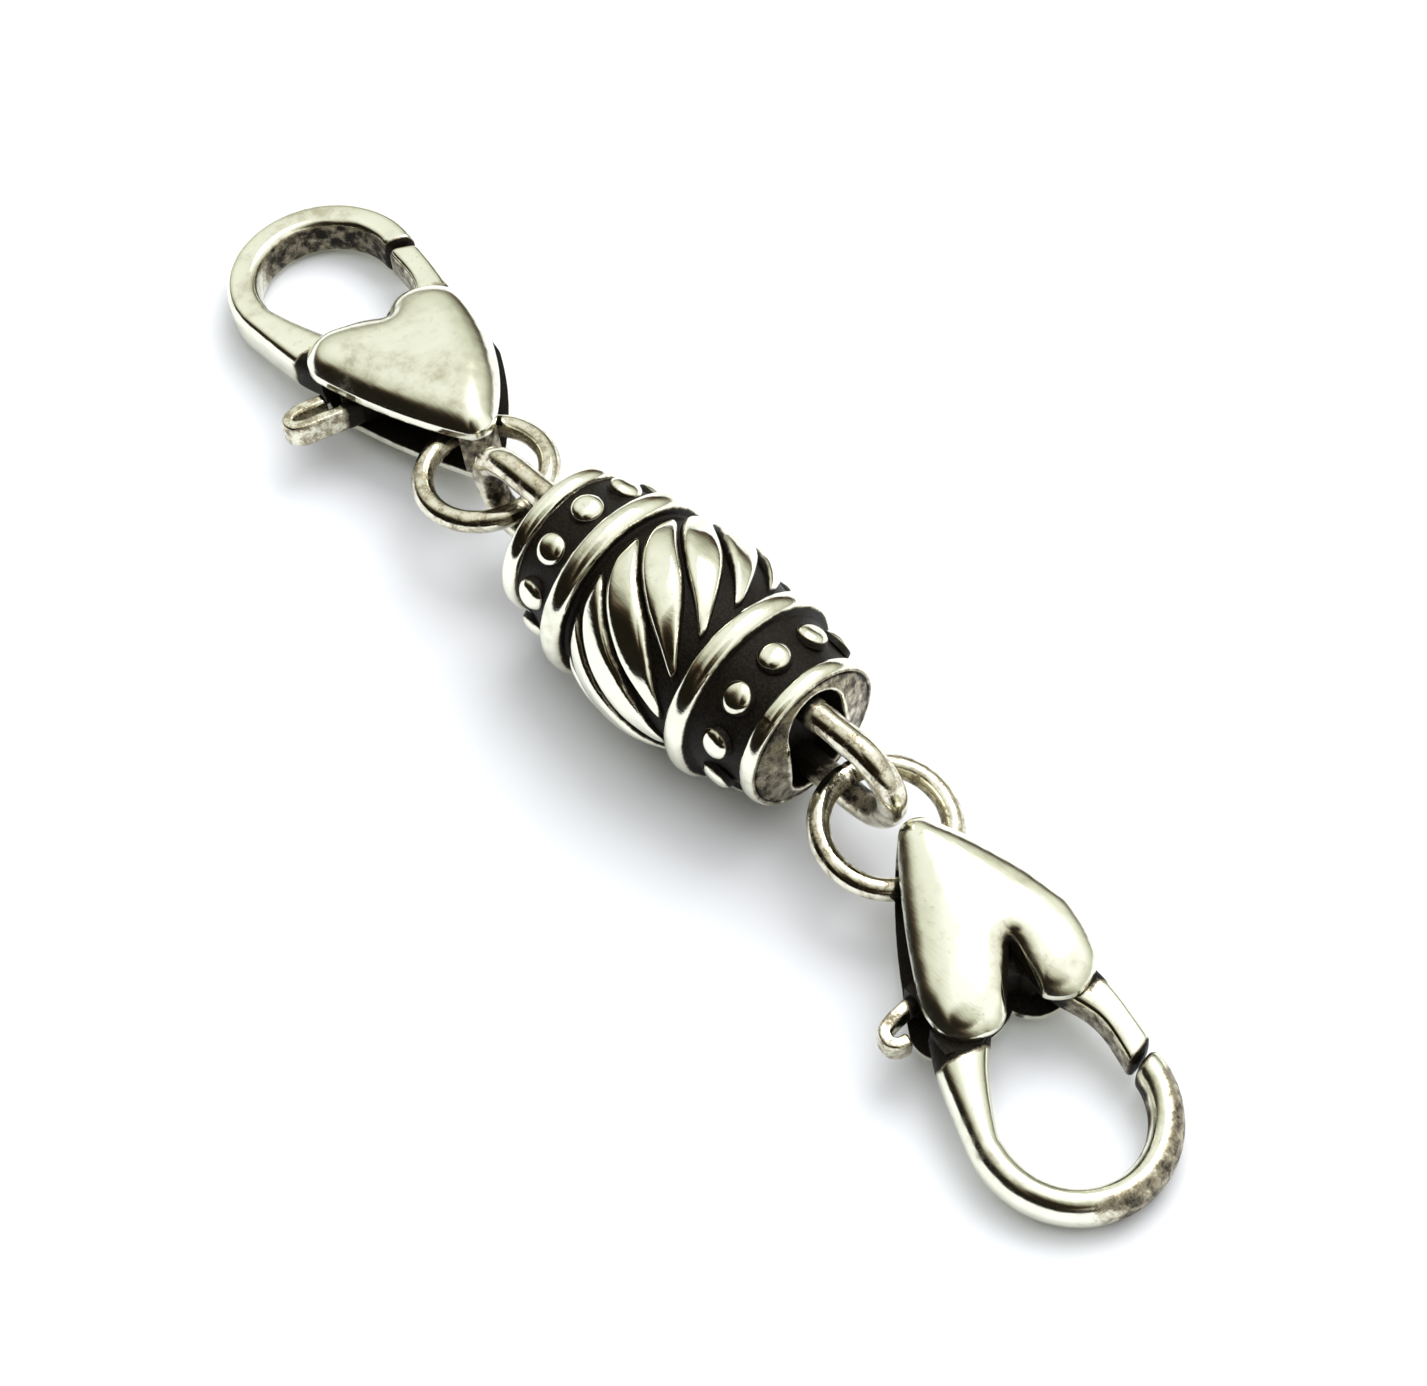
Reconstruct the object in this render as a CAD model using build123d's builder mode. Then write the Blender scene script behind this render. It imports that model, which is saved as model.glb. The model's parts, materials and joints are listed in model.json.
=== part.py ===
"""Chain extender: a cast barrel with a jump ring and a heart lobster clasp at each end, lying on a table.

Millimetres. +X runs along the extender and +Z is up. The origin is on the table, under the middle of the whole.
"""

import os
from math import asin, atan2, cos, radians, sin, sqrt

from build123d import *

# Barrel, turned about the X axis
bulge_radius = 5.32  # crest of the flutes at the middle
core_radius = 4.72  # floor of the grooves between the flutes, at the middle
core_end_radius = 4.22  # the same beside the rings
ring_x = 4.10  # middle of a raised ring
ring_width = 1.26
ring_crest_radius = 4.96
ring_foot_radius = 4.44
band_start_radius = 4.30  # floor of the dot band beside the ring
band_end_radius = 3.62  # floor of the dot band beside the end rim
rim_x = 7.88  # middle of the end rim
rim_width = 0.92
rim_crest_radius = 3.95
crease_depth = 0.12  # step between the rim and the end face
face_bulge = 0.55  # how far the end face domes out past the rim

# Raised dots of the two bands
dot_count = 10
dot_radius = 0.82
dot_x = 6.05
dot_rise = 0.50
dot_phase_right = -37.2  # degrees from the top to the nearest dot
dot_phase_left = 0.0

# Flutes of the bulge
flute_count = 12
flute_half_length = 3.06
flute_twist = 8.5  # degrees of turn for each millimetre along the barrel, at its middle
flute_curl = 0.50  # how much more the flutes turn towards their ends
flute_phase = 10.7  # degrees from the top to a flute's middle at the barrel's centre
flute_half_angle = 12.0
flute_round_end = 0.42  # width of the blunt end as a share of the widest
flute_point_end = 0.17  # width of the pointed end as a share of the widest
flute_apex_radius = 3.70  # buried edge of each flute
flute_sink = 0.04  # how far a flute's sides reach below the floor of the grooves
flute_end_fall = 0.45  # share of its height that a flute loses towards its ends
flute_fullness = 0.12  # how much taller a narrow flute stands than its width alone gives

# Recess in each end of the barrel, and the eye that stands in it
recess_width = 3.30
recess_height = 6.24
recess_depth = 2.25
eye_wire = 1.46
eye_leg_z = 2.20  # centre line of a leg above the barrel's axis
eye_reach = 14.12  # outer end of the eye, from the barrel's centre
plug_thickness = 0.60
plug_clearance = 0.05

# Jump rings
link_wire = 1.10
link_radius = 3.06  # centre line

# Clasp in its own frame: u from the tail to the hook, v towards the spine, z through its thickness
slot_half = 1.10  # middle plane to the inner face of a cheek
rim_thickness = 0.30
heart_half = 2.62  # middle plane to the top of a dome
heart_end_u = 11.00
tail_half_width = 1.05
spine_flank_v = 4.36
gate_flank_v = 4.12
cleft_depth = 0.95
cleft_v = -0.20
tail_bridge = 1.15  # thickness of the tail's wall between the cheeks
tail_bridge_round = 2.30
tail_bridge_v = 0.75
notch_depth = 3.55  # point of the deep notch in the cheek that faces up on the right, from the heart's end
notch_v = -0.95
notch_spine_depth = 0.90  # where the notch's walls meet the cleft's sides
notch_spine_v = 0.35
notch_gate_depth = 0.30
notch_gate_v = -1.40

# Hook of the clasp
hook_thickness = 2.20
hook_band = 1.62
hook_round = 0.55
bow_u = 15.30  # centre of the bow
bow_v = 0.18
bow_half_length = 5.12  # outer edge
bow_half_width = 4.88  # outer edge
root_u = 9.25
root_inset = 0.35  # outer edge of the root inside the heart's flank
root_inner_v = 0.70  # inner edge of the root
root_block_inset = 0.15  # end of the block that fills the slot round the root, inside the heart's end
spine_run_in = 1.60  # the straight spine meets the bow this far before its centre
seam_inner_u = 14.90
seam_outer_u = 14.18
seam_gap = 0.12

# Lever and its pin
pin_radius = 0.50
pin_clearance = 0.04
pin_seat_clearance = 0.02
pin_seat = 0.80  # depth of the pin's seat in each cheek
pivot_u = 7.90
pivot_v = -1.90
hub_radius = 1.35
lever_side_clearance = 0.10
web_width = 1.50
tab_sheet = 0.55
tab_u = 7.25  # middle of the tab's outgoing sheet
tab_half_height = 0.65
tab_reach_v = 6.60
tab_curl_radius = 0.68  # centre line of the curl
tab_lip = 1.00  # length of the sheet that comes back
arm_shoulder = 0.35  # how far the arm's inner edge starts inside the back of the hub
arm_inner_bow = 0.16  # how far the arm's edges bow out past its end
arm_outer_bow = 0.06
arm_outer_step = 0.03  # how far the arm's end stands inside the hook's nose
arm_inner_step = 0.02
arm_corner = 0.20

# Lay of the chain on the table, from the photograph
left_tail_slack = 0.46  # room between the tail's wall and the jump ring's wire in the slot
left_tail_y = 1.58
right_tail_slack = 0.35
right_tail_y = -0.06
tail_drop = 1.46  # tail of each clasp below the barrel's axis
left_yaw = 170.0
right_yaw = -17.0
left_link_slack = 0.92  # room between the eye's bend and the jump ring's wire inside it
left_link_y = 0.50
right_link_slack = 1.75
right_link_y = -0.48
link_near_drop = 0.80  # jump ring's wire below the axis where it hangs in the eye
link_left_far_drop = 1.55  # and where it lies in the clasp's slot
link_right_far_drop = 2.15


# Barrel
ring_in = ring_x - ring_width / 2
ring_out = ring_x + ring_width / 2
rim_in = rim_x - rim_width / 2
rim_out = rim_x + rim_width / 2
crease_radius = band_end_radius - crease_depth
face_x = rim_out + face_bulge
groove_x = flute_half_length + (ring_in - flute_half_length) * 0.5

with BuildPart() as barrel_casting:
    with BuildSketch(Plane.XY):
        with BuildLine():
            ThreePointArc((-groove_x, core_end_radius), (0, core_radius), (groove_x, core_end_radius))
            for side in (-1, 1):
                Line((side * groove_x, core_end_radius), (side * ring_in, ring_foot_radius))
                ThreePointArc(
                    (side * ring_in, ring_foot_radius),
                    (side * ring_x, ring_crest_radius),
                    (side * ring_out, ring_foot_radius),
                )
                Polyline(
                    (side * ring_out, ring_foot_radius),
                    (side * ring_out, band_start_radius),
                    (side * rim_in, band_end_radius),
                )
                ThreePointArc(
                    (side * rim_in, band_end_radius),
                    (side * rim_x, rim_crest_radius),
                    (side * rim_out, band_end_radius),
                )
                Line((side * rim_out, band_end_radius), (side * rim_out, crease_radius))
                ThreePointArc(
                    (side * rim_out, crease_radius),
                    (side * (rim_out + face_bulge * 0.75), crease_radius / 2),
                    (side * face_x, 0),
                )
            Line((-face_x, 0), (face_x, 0))
        make_face()
    revolve(axis=Axis.X)

    # Raised dots
    band_slope = (band_start_radius - band_end_radius) / (rim_in - ring_out)
    dot_floor = band_start_radius - band_slope * (dot_x - ring_out)
    dot_orbit = dot_floor + dot_rise - dot_radius
    for side, phase in ((-1, dot_phase_left), (1, dot_phase_right)):
        for step in range(dot_count):
            turn = radians(phase + step * 360 / dot_count)
            outward = (0, -sin(turn), cos(turn))
            seat = Plane(origin=(side * dot_x, 0, 0), x_dir=(1, 0, 0), z_dir=outward).offset(dot_orbit)
            with Locations(seat):
                Sphere(dot_radius)

    # Flutes, each lofted along the barrel through wedges that turn as they go
    flute_stations = (
        (-1.0, flute_round_end),
        (-0.88, 0.78),
        (-0.6, 1.0),
        (-0.1, 1.0),
        (0.36, 0.82),
        (0.74, 0.50),
        (1.0, flute_point_end),
    )
    for step in range(flute_count):
        for place, share in flute_stations:
            station_x = place * flute_half_length
            floor_radius = core_radius - (core_radius - core_end_radius) * place**2
            edge_radius = floor_radius - flute_sink
            plump = sqrt(min(1, share + flute_fullness))
            rise = (bulge_radius - core_radius) * (1 - flute_end_fall * place**2) * plump
            swung = flute_twist * station_x * (1 + flute_curl * place**2)
            middle = flute_phase + swung + step * 360 / flute_count
            half = flute_half_angle * share
            low, mid, high = (radians(middle + swing) for swing in (-half, 0, half))
            crest_radius = floor_radius + rise
            with BuildSketch(Plane(origin=(station_x, 0, 0), x_dir=(0, 1, 0), z_dir=(1, 0, 0))):
                with BuildLine():
                    start = (-edge_radius * sin(low), edge_radius * cos(low))
                    crest = (-crest_radius * sin(mid), crest_radius * cos(mid))
                    end = (-edge_radius * sin(high), edge_radius * cos(high))
                    apex = (-flute_apex_radius * sin(mid), flute_apex_radius * cos(mid))
                    ThreePointArc(start, crest, end)
                    Polyline(end, apex, start)
                make_face()
        loft()

    # Oval recess in each end
    for side in (-1, 1):
        with BuildSketch(Plane.YZ.offset(side * (face_x - recess_depth))):
            SlotOverall(recess_height, recess_width, rotation=90)
        extrude(amount=side * (recess_depth + face_bulge), mode=Mode.SUBTRACT)

# Eye: a thick wire loop standing in the barrel's end, with its legs joined by an oval plug
recess_floor_x = face_x - recess_depth
plug_x = recess_floor_x + plug_clearance
eye_bend_x = eye_reach - eye_wire / 2 - eye_leg_z

with BuildPart() as eye:
    with BuildSketch(Plane.YZ.offset(plug_x)):
        SlotOverall(recess_height - 2 * plug_clearance, recess_width - 2 * plug_clearance, rotation=90)
    extrude(amount=plug_thickness)
    with BuildLine(Plane.XZ):
        loop_start = (plug_x + plug_thickness / 2, eye_leg_z)
        top_leg = Line(loop_start, (eye_bend_x, eye_leg_z))
        bend = ThreePointArc(
            (eye_bend_x, eye_leg_z), (eye_bend_x + eye_leg_z, 0), (eye_bend_x, -eye_leg_z)
        )
        Line((eye_bend_x, -eye_leg_z), (plug_x + plug_thickness / 2, -eye_leg_z))
    with BuildSketch(Plane(origin=(plug_x + plug_thickness / 2, 0, eye_leg_z), z_dir=(1, 0, 0))):
        Circle(eye_wire / 2)
    sweep()

# Jump ring
with BuildPart() as link:
    Torus(link_radius, link_wire / 2)

# Hook of the clasp: its outline in plan, from the root in the slot round the bow to the nose
inner_half_length = bow_half_length - hook_band
inner_half_width = bow_half_width - hook_band


def bow_point(half_length, half_width, u, side):
    """Point of an ellipse about the bow's centre at the given u, on the spine side (1) or gate side (-1)."""
    return (u, bow_v + side * half_width * sqrt(1 - ((u - bow_u) / half_length) ** 2))


spine_u = bow_u - spine_run_in
outer_spine = bow_point(bow_half_length, bow_half_width, spine_u, 1)
inner_spine = bow_point(inner_half_length, inner_half_width, spine_u, 1)
outer_nose = bow_point(bow_half_length, bow_half_width, seam_outer_u, -1)
inner_nose = bow_point(inner_half_length, inner_half_width, seam_inner_u, -1)
root_outer_v = spine_flank_v - root_inset


def spine_point(along, root_v, end_v, across):
    """Point of the straight spine: a share of the run from the root to the bow, and a share of its rise."""
    return (root_u + (spine_u - root_u) * along, root_v + (end_v - root_v) * across)



with BuildPart() as hook:
    with BuildSketch(Plane.XY.offset(-hook_thickness / 2)):
        with BuildLine():
            Spline(
                (root_u, root_outer_v),
                spine_point(0.427, root_outer_v, outer_spine[1], 0.682),
                outer_spine,
                tangents=((1, 0.30), (1, 0.07)),
            )
            Spline(
                outer_spine,
                bow_point(bow_half_length, bow_half_width, bow_u, 1),
                bow_point(bow_half_length, bow_half_width, bow_u + bow_half_length * 0.7, 1),
                (bow_u + bow_half_length, bow_v),
                bow_point(bow_half_length, bow_half_width, bow_u + bow_half_length * 0.7, -1),
                bow_point(bow_half_length, bow_half_width, bow_u, -1),
                outer_nose,
            )
            Line(outer_nose, inner_nose)
            Spline(
                inner_nose,
                bow_point(inner_half_length, inner_half_width, bow_u + inner_half_length * 0.25, -1),
                bow_point(inner_half_length, inner_half_width, bow_u + inner_half_length * 0.78, -1),
                (bow_u + inner_half_length, bow_v),
                bow_point(inner_half_length, inner_half_width, bow_u + inner_half_length * 0.78, 1),
                bow_point(inner_half_length, inner_half_width, bow_u + inner_half_length * 0.25, 1),
                inner_spine,
                spine_point(0.539, root_inner_v, inner_spine[1], 0.639),
                (root_u, root_inner_v),
            )
            Line((root_u, root_inner_v), (root_u, root_outer_v))
        make_face()
    extrude(amount=hook_thickness)
    fillet(hook.faces().group_by(Axis.Z)[0].edges() + hook.faces().group_by(Axis.Z)[-1].edges(), hook_round)

# Heart cheek: outline in plan as shares of the heart's length and widths, each point with the point on the
# dome's ridge that it rises to
cleft_u = heart_end_u - cleft_depth
lobe_v = spine_flank_v * 0.50
gate_lobe_v = -gate_flank_v * 0.52
lobe_u = heart_end_u * 0.80
rim_points = {
    "tail_gate": ((0.045, -tail_half_width * 0.80), (0.16, 0)),
    "tail_tip": ((0, 0), (0.13, 0)),
    "tail_spine": ((0.045, tail_half_width * 0.84), (0.16, 0)),
    "spine_flank": ((0.40, spine_flank_v * 0.665), (0.44, spine_flank_v * 0.06)),
    "spine_shoulder": ((0.775, spine_flank_v), (0.74, lobe_v)),
    "spine_lobe": ((0.982, spine_flank_v * 0.80), (0.80, lobe_v)),
    "spine_lip": ((0.982, spine_flank_v * 0.27), (0.80, lobe_v * 0.92)),
    "spine_cleft": ((0.935, spine_flank_v * 0.07), (0.74, lobe_v * 0.55)),
    "cleft": ((cleft_u / heart_end_u, cleft_v), (0.56, 0)),
    "gate_cleft": ((0.925, -gate_flank_v * 0.185), (0.74, gate_lobe_v * 0.55)),
    "gate_lip": ((0.960, -gate_flank_v * 0.30), (0.80, gate_lobe_v * 0.92)),
    "gate_lobe": ((0.992, -gate_flank_v * 0.63), (0.80, gate_lobe_v)),
    "gate_shoulder": ((0.735, -gate_flank_v), (0.72, gate_lobe_v)),
    "gate_flank": ((0.375, -gate_flank_v * 0.765), (0.42, -gate_flank_v * 0.06)),
}
dome_levels = ((0.0, 0.0), (0.14, 0.40), (0.32, 0.70), (0.58, 0.92), (0.84, 1.0))  # inward share, height share


heart_arcs = (
    ("tail_gate", "tail_tip", "tail_spine"),
    ("tail_spine", "spine_flank", "spine_shoulder"),
    ("spine_shoulder", "spine_lobe", "spine_lip"),
    ("spine_lip", "spine_cleft", "cleft"),
    ("cleft", "gate_cleft", "gate_lip"),
    ("gate_lip", "gate_lobe", "gate_shoulder"),
    ("gate_shoulder", "gate_flank", "tail_gate"),
)


def heart_point(name, inward):
    """Plan point of the heart, moved from its rim towards its ridge by the inward share."""
    (rim_share, rim_v), (ridge_share, ridge_v) = rim_points[name]
    share = rim_share + (ridge_share - rim_share) * inward
    return (share * heart_end_u, rim_v + (ridge_v - rim_v) * inward)


rim_z = slot_half + rim_thickness
with BuildPart() as cheek:
    with BuildSketch(Plane.XY.offset(slot_half)):
        with BuildLine():
            for arc in heart_arcs:
                ThreePointArc(*(heart_point(name, 0) for name in arc))
        make_face()
    extrude(amount=rim_thickness)
    for inward, height in dome_levels:
        with BuildSketch(Plane.XY.offset(rim_z + height * (heart_half - rim_z))):
            with BuildLine():
                for arc in heart_arcs:
                    ThreePointArc(*(heart_point(name, inward) for name in arc))
            make_face()
    loft()
    with Locations((pivot_u, pivot_v, slot_half)):
        Cylinder(
            pin_radius + pin_seat_clearance,
            pin_seat * 2,
            mode=Mode.SUBTRACT,
        )

# Block round the spine's root: shares of its length towards the heart's end and of its width towards the spine
root_block = ((0, 0.03), (0, 0.985), (0.84, 0.97), (1, 0.468), (0.56, 0.181))
root_block_end = heart_end_u - root_block_inset


def block_point(along, across):
    """Plan point of the root's block."""
    return (
        root_u + (root_block_end - root_u) * along,
        root_inner_v + (root_outer_v - root_inner_v) * across,
    )


# Clasp body: two cheeks, the tail bridge and the spine's root between them, and the hook
with BuildPart() as clasp_body:
    mirror(cheek.part, about=Plane.XY)
    with BuildSketch(Plane.XY.offset(-slot_half)):
        with BuildLine():
            Polyline(
                (heart_end_u - notch_depth, notch_v),
                (heart_end_u - notch_spine_depth, notch_spine_v),
                (heart_end_u + notch_spine_depth, notch_spine_v),
                (heart_end_u + notch_spine_depth, notch_gate_v),
                (heart_end_u - notch_gate_depth, notch_gate_v),
                close=True,
            )
        make_face()
    extrude(amount=-heart_half, mode=Mode.SUBTRACT)
    add(cheek.part)
    with BuildSketch(Plane.XY):
        with BuildLine():
            for arc in heart_arcs:
                ThreePointArc(*(heart_point(name, 0) for name in arc))
        make_face()
        with Locations((tail_bridge - tail_bridge_round, tail_bridge_v)):
            Circle(tail_bridge_round, mode=Mode.INTERSECT)
    extrude(amount=slot_half + rim_thickness / 2, both=True)
    with BuildSketch(Plane.XY):
        with BuildLine():
            Polyline(*(block_point(*shares) for shares in root_block), close=True)
        make_face()
    extrude(amount=slot_half + rim_thickness / 2, both=True)
    add(hook.part)

# Lever: gate arm, hub on the pin, web across the slot and curled thumb tab
lever_half = slot_half - lever_side_clearance
seam_slant = atan2(seam_inner_u - seam_outer_u, inner_nose[1] - outer_nose[1])
gate_end = seam_gap / cos(seam_slant)
arm_outer = (seam_outer_u - gate_end, outer_nose[1] + arm_outer_step)
arm_inner = (seam_inner_u - gate_end, inner_nose[1] - arm_inner_step)
arm_start = (pivot_u + hub_radius - arm_shoulder, pivot_v + hub_radius * 0.55)
arm_end = (pivot_u - hub_radius * 0.074, pivot_v - hub_radius)

with BuildPart() as clasp_lever:
    with BuildSketch(Plane.XY):
        with Locations((pivot_u, pivot_v)):
            Circle(hub_radius)
        with BuildLine():
            Line(arm_outer, arm_inner)
            ThreePointArc(
                arm_inner,
                ((arm_inner[0] + pivot_u + hub_radius) / 2, inner_nose[1] + arm_inner_bow),
                arm_start,
            )
            Polyline(arm_start, (pivot_u, pivot_v), arm_end)
            ThreePointArc(
                arm_end,
                (pivot_u + (arm_outer[0] - pivot_u) * 0.55, outer_nose[1] - arm_outer_bow),
                arm_outer,
            )
        make_face()
        with BuildLine():
            Polyline(
                (pivot_u - hub_radius * 0.95, pivot_v),
                (pivot_u + hub_radius * 0.70, pivot_v),
                (tab_u + web_width * 0.55, spine_flank_v * 0.62),
                (tab_u + tab_sheet * 0.9, spine_flank_v * 0.86),
                (tab_u - tab_sheet / 2, spine_flank_v * 0.92),
                (tab_u - web_width * 0.45, spine_flank_v * 0.50),
                close=True,
            )
        make_face()
        with Locations((pivot_u, pivot_v)):
            Circle(pin_radius + pin_clearance, mode=Mode.SUBTRACT)
    extrude(amount=lever_half, both=True)
    with BuildSketch(Plane.XY):
        with BuildLine():
            curl_v = tab_reach_v - tab_curl_radius - tab_sheet / 2
            Line((tab_u, spine_flank_v * 0.80), (tab_u, curl_v))
            ThreePointArc(
                (tab_u, curl_v),
                (tab_u + tab_curl_radius, curl_v + tab_curl_radius),
                (tab_u + 2 * tab_curl_radius, curl_v),
            )
            Line((tab_u + 2 * tab_curl_radius, curl_v), (tab_u + 2 * tab_curl_radius, curl_v - tab_lip))
        trace(line_width=tab_sheet)
    extrude(amount=tab_half_height, both=True)
    fillet(clasp_lever.edges().filter_by(Axis.Z).sort_by_distance((*arm_outer, 0))[0], arm_corner)

# Pin, seated blind in both cheeks
with BuildPart() as clasp_pin:
    with Locations((pivot_u, pivot_v, 0)):
        Cylinder(pin_radius, 2 * (slot_half + pin_seat - pin_seat_clearance))

# Lay of each clasp: it leans down from the tail until the hook's far end rests on the table
floor_z = -bulge_radius
clasp_end_u = bow_u + bow_half_length - hook_round
lean = asin((bulge_radius - tail_drop - hook_thickness / 2) / clasp_end_u)


def clasp_place(tail_x, tail_y, yaw, up):
    """Where a clasp lies: its tail, its heading in degrees and which side is up (1 or -1)."""
    heading = radians(yaw)
    along = (cos(heading) * cos(lean), sin(heading) * cos(lean), -sin(lean))
    normal = (up * cos(heading) * sin(lean), up * sin(heading) * sin(lean), up * cos(lean))
    return Plane(origin=(tail_x, tail_y, -tail_drop), x_dir=along, z_dir=normal).location


def link_place(centre_x, centre_y, far_drop, side):
    """Where a jump ring lies: level across, and sloping from the eye's wire to the clasp's slot."""
    slope = asin((far_drop - link_near_drop) / (2 * link_radius))
    middle_z = -(far_drop + link_near_drop) / 2
    along = (side * cos(slope), 0, -sin(slope))
    normal = (side * sin(slope), 0, cos(slope))
    return Plane(origin=(centre_x, centre_y, middle_z), x_dir=along, z_dir=normal).location


hang_x = eye_reach - eye_wire - link_wire / 2 + link_radius  # a jump ring's middle when it is drawn out tight
left_link_x = left_link_slack - hang_x
right_link_x = hang_x - right_link_slack
tail_hold = tail_bridge + link_wire / 2 - link_radius  # from a ring's middle back to the tail's tip, drawn tight
left_tail_x = left_link_x + tail_hold + left_tail_slack
right_tail_x = right_link_x - tail_hold - right_tail_slack

left_clasp = clasp_place(left_tail_x, left_tail_y, left_yaw, 1)
right_clasp = clasp_place(right_tail_x, right_tail_y, right_yaw, -1)
turned = Location((0, 0, 0), (0, 0, 180))
level = Location((0, 0, 0))
nodes = {
    "barrel": (barrel_casting, level),
    "eye_left": (eye, turned),
    "eye_right": (eye, level),
    "jump_ring_left": (link, link_place(left_link_x, left_link_y, link_left_far_drop, -1)),
    "jump_ring_right": (link, link_place(right_link_x, right_link_y, link_right_far_drop, 1)),
    "clasp_body_left": (clasp_body, left_clasp),
    "clasp_body_right": (clasp_body, right_clasp),
    "clasp_lever_left": (clasp_lever, left_clasp),
    "clasp_lever_right": (clasp_lever, right_clasp),
    "clasp_pin_left": (clasp_pin, left_clasp),
    "clasp_pin_right": (clasp_pin, right_clasp),
}

# Origin on the table, under the middle of the whole
whole = Compound(children=[shape.part.moved(place) for shape, place in nodes.values()])
box = whole.bounding_box()
to_origin = Location((-(box.min.X + box.max.X) / 2, -(box.min.Y + box.max.Y) / 2, -box.min.Z))

os.makedirs("parts", exist_ok=True)
for name, (shape, place) in nodes.items():
    with BuildPart() as piece:
        with Locations(to_origin * place):
            add(shape.part)
    piece.part.label = name
    export_step(piece.part, f"parts/{name}.step")
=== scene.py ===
"""Looks of the chain extender: a fluted barrel, two eyes, two jump rings and two heart clasps in antique silver.

Lengths are in millimetres and angles in degrees. Shapes are worked out about the middle of the barrel, and a shell
adds the frame's origin and turns them into metres when it becomes a mesh.
"""

from __future__ import annotations

import json
import logging
from dataclasses import dataclass, field
from enum import Enum

import bpy
import numpy as np
from mathutils import Matrix, Vector

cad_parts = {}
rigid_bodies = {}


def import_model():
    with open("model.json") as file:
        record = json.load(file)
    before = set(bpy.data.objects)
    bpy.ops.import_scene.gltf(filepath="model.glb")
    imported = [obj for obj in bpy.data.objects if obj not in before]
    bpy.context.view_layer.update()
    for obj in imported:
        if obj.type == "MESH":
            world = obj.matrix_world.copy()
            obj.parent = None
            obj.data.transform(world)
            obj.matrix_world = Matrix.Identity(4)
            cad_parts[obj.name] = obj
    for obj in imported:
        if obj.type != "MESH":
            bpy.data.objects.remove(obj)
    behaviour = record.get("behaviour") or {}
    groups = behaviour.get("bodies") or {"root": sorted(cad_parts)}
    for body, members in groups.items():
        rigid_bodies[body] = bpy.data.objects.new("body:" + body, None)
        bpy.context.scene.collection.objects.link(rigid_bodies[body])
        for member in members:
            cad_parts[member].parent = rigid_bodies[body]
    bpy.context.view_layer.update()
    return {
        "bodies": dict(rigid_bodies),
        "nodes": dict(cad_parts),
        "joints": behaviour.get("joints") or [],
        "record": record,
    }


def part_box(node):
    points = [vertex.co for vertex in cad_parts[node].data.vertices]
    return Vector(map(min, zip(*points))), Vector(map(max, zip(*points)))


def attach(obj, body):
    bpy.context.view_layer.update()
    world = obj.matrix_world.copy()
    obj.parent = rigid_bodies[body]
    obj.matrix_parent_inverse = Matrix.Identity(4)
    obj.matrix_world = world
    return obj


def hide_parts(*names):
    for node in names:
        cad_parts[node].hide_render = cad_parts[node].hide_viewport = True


log = logging.getLogger("chain_extender")

MM = 0.001
PATINA = "patina"
SMALL = 1e-6  # less than this counts as nought

Array = np.ndarray  # short names for the types used most
Socket = bpy.types.NodeSocket
Pair = tuple[float, float]
Triple = tuple[float, float, float]
Colour = tuple[float, float, float, float]


class Side(Enum):
    """The two ends of the extender."""

    LEFT = "left"
    RIGHT = "right"

    @property
    def sign(self) -> int:
        """Which way its end points along the barrel's axis."""
        return 1 if self is Side.RIGHT else -1


class Ends(Enum):
    """How a stack of rings ends: with a flat cap at each end, or joined up to its own start."""

    CAPPED = "capped"
    JOINED = "joined"


# ---------------------------------------------------------------- shape helpers


def smooth(value: Array, low: float, high: float) -> Array:
    """Smooth step: 3t^2 - 2t^3 with t the share of the way from low to high, held between 0 and 1."""
    t = np.clip((value - low) / (high - low), 0, 1)
    return t * t * (3 - 2 * t)


def ripple(u: Array, v: Array, size: float, seed: int) -> Array:
    """Gentle unevenness of a hand-finished casting: a sum of six slow sine waves in seeded directions.

    Args:
        u: first parameter, in millimetres.
        v: second parameter, in millimetres.
        size: length of the shortest wave, in millimetres.
        seed: seed of the waves' directions and starts.

    Returns:
        A value between about -1 and 1 at each point.
    """
    count, longest = 6, 2.6
    draw = np.random.default_rng(seed)
    turn, start = draw.uniform(0, 2 * np.pi, (2, count))
    pitch = 2 * np.pi / (size * draw.uniform(1, longest, count))
    waves = [np.sin(k * (np.cos(t) * u + np.sin(t) * v) + s) for k, t, s in zip(pitch, turn, start)]
    return sum(waves) / 3


def turns(count: int) -> Array:
    """Even steps round a full turn, in radians."""
    return np.radians(np.linspace(0, 360, count, endpoint=False))


def on_circle(centre: Pair | Array, radius: float | Array, angle: Array) -> Array:
    """Plan points at the given angles on a circle, or on an ellipse where the radius is a pair."""
    return np.asarray(centre) + radius * np.stack([np.cos(angle), np.sin(angle)], 1)


def through(points: Array, count: int) -> Array:
    """Smooth curve through given points: between two, the cubic whose slopes there come from their neighbours.

    Args:
        points: (n, d) points.
        count: how many points the curve gets.

    Returns:
        (count, d) points, evenly spread in the curve's own parameter.
    """
    points = np.asarray(points, float)
    padded = np.vstack([2 * points[0] - points[1], points, 2 * points[-1] - points[-2]])
    place = np.linspace(0, len(points) - 1, count)
    span = np.minimum(place.astype(int), len(points) - 2)
    t = (place - span)[:, None]
    a, b, c, d = (padded[span + k] for k in range(4))
    return 0.5 * (2 * b + (c - a) * t + (2 * a - 5 * b + 4 * c - d) * t**2 + (3 * b - a - 3 * c + d) * t**3)


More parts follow.
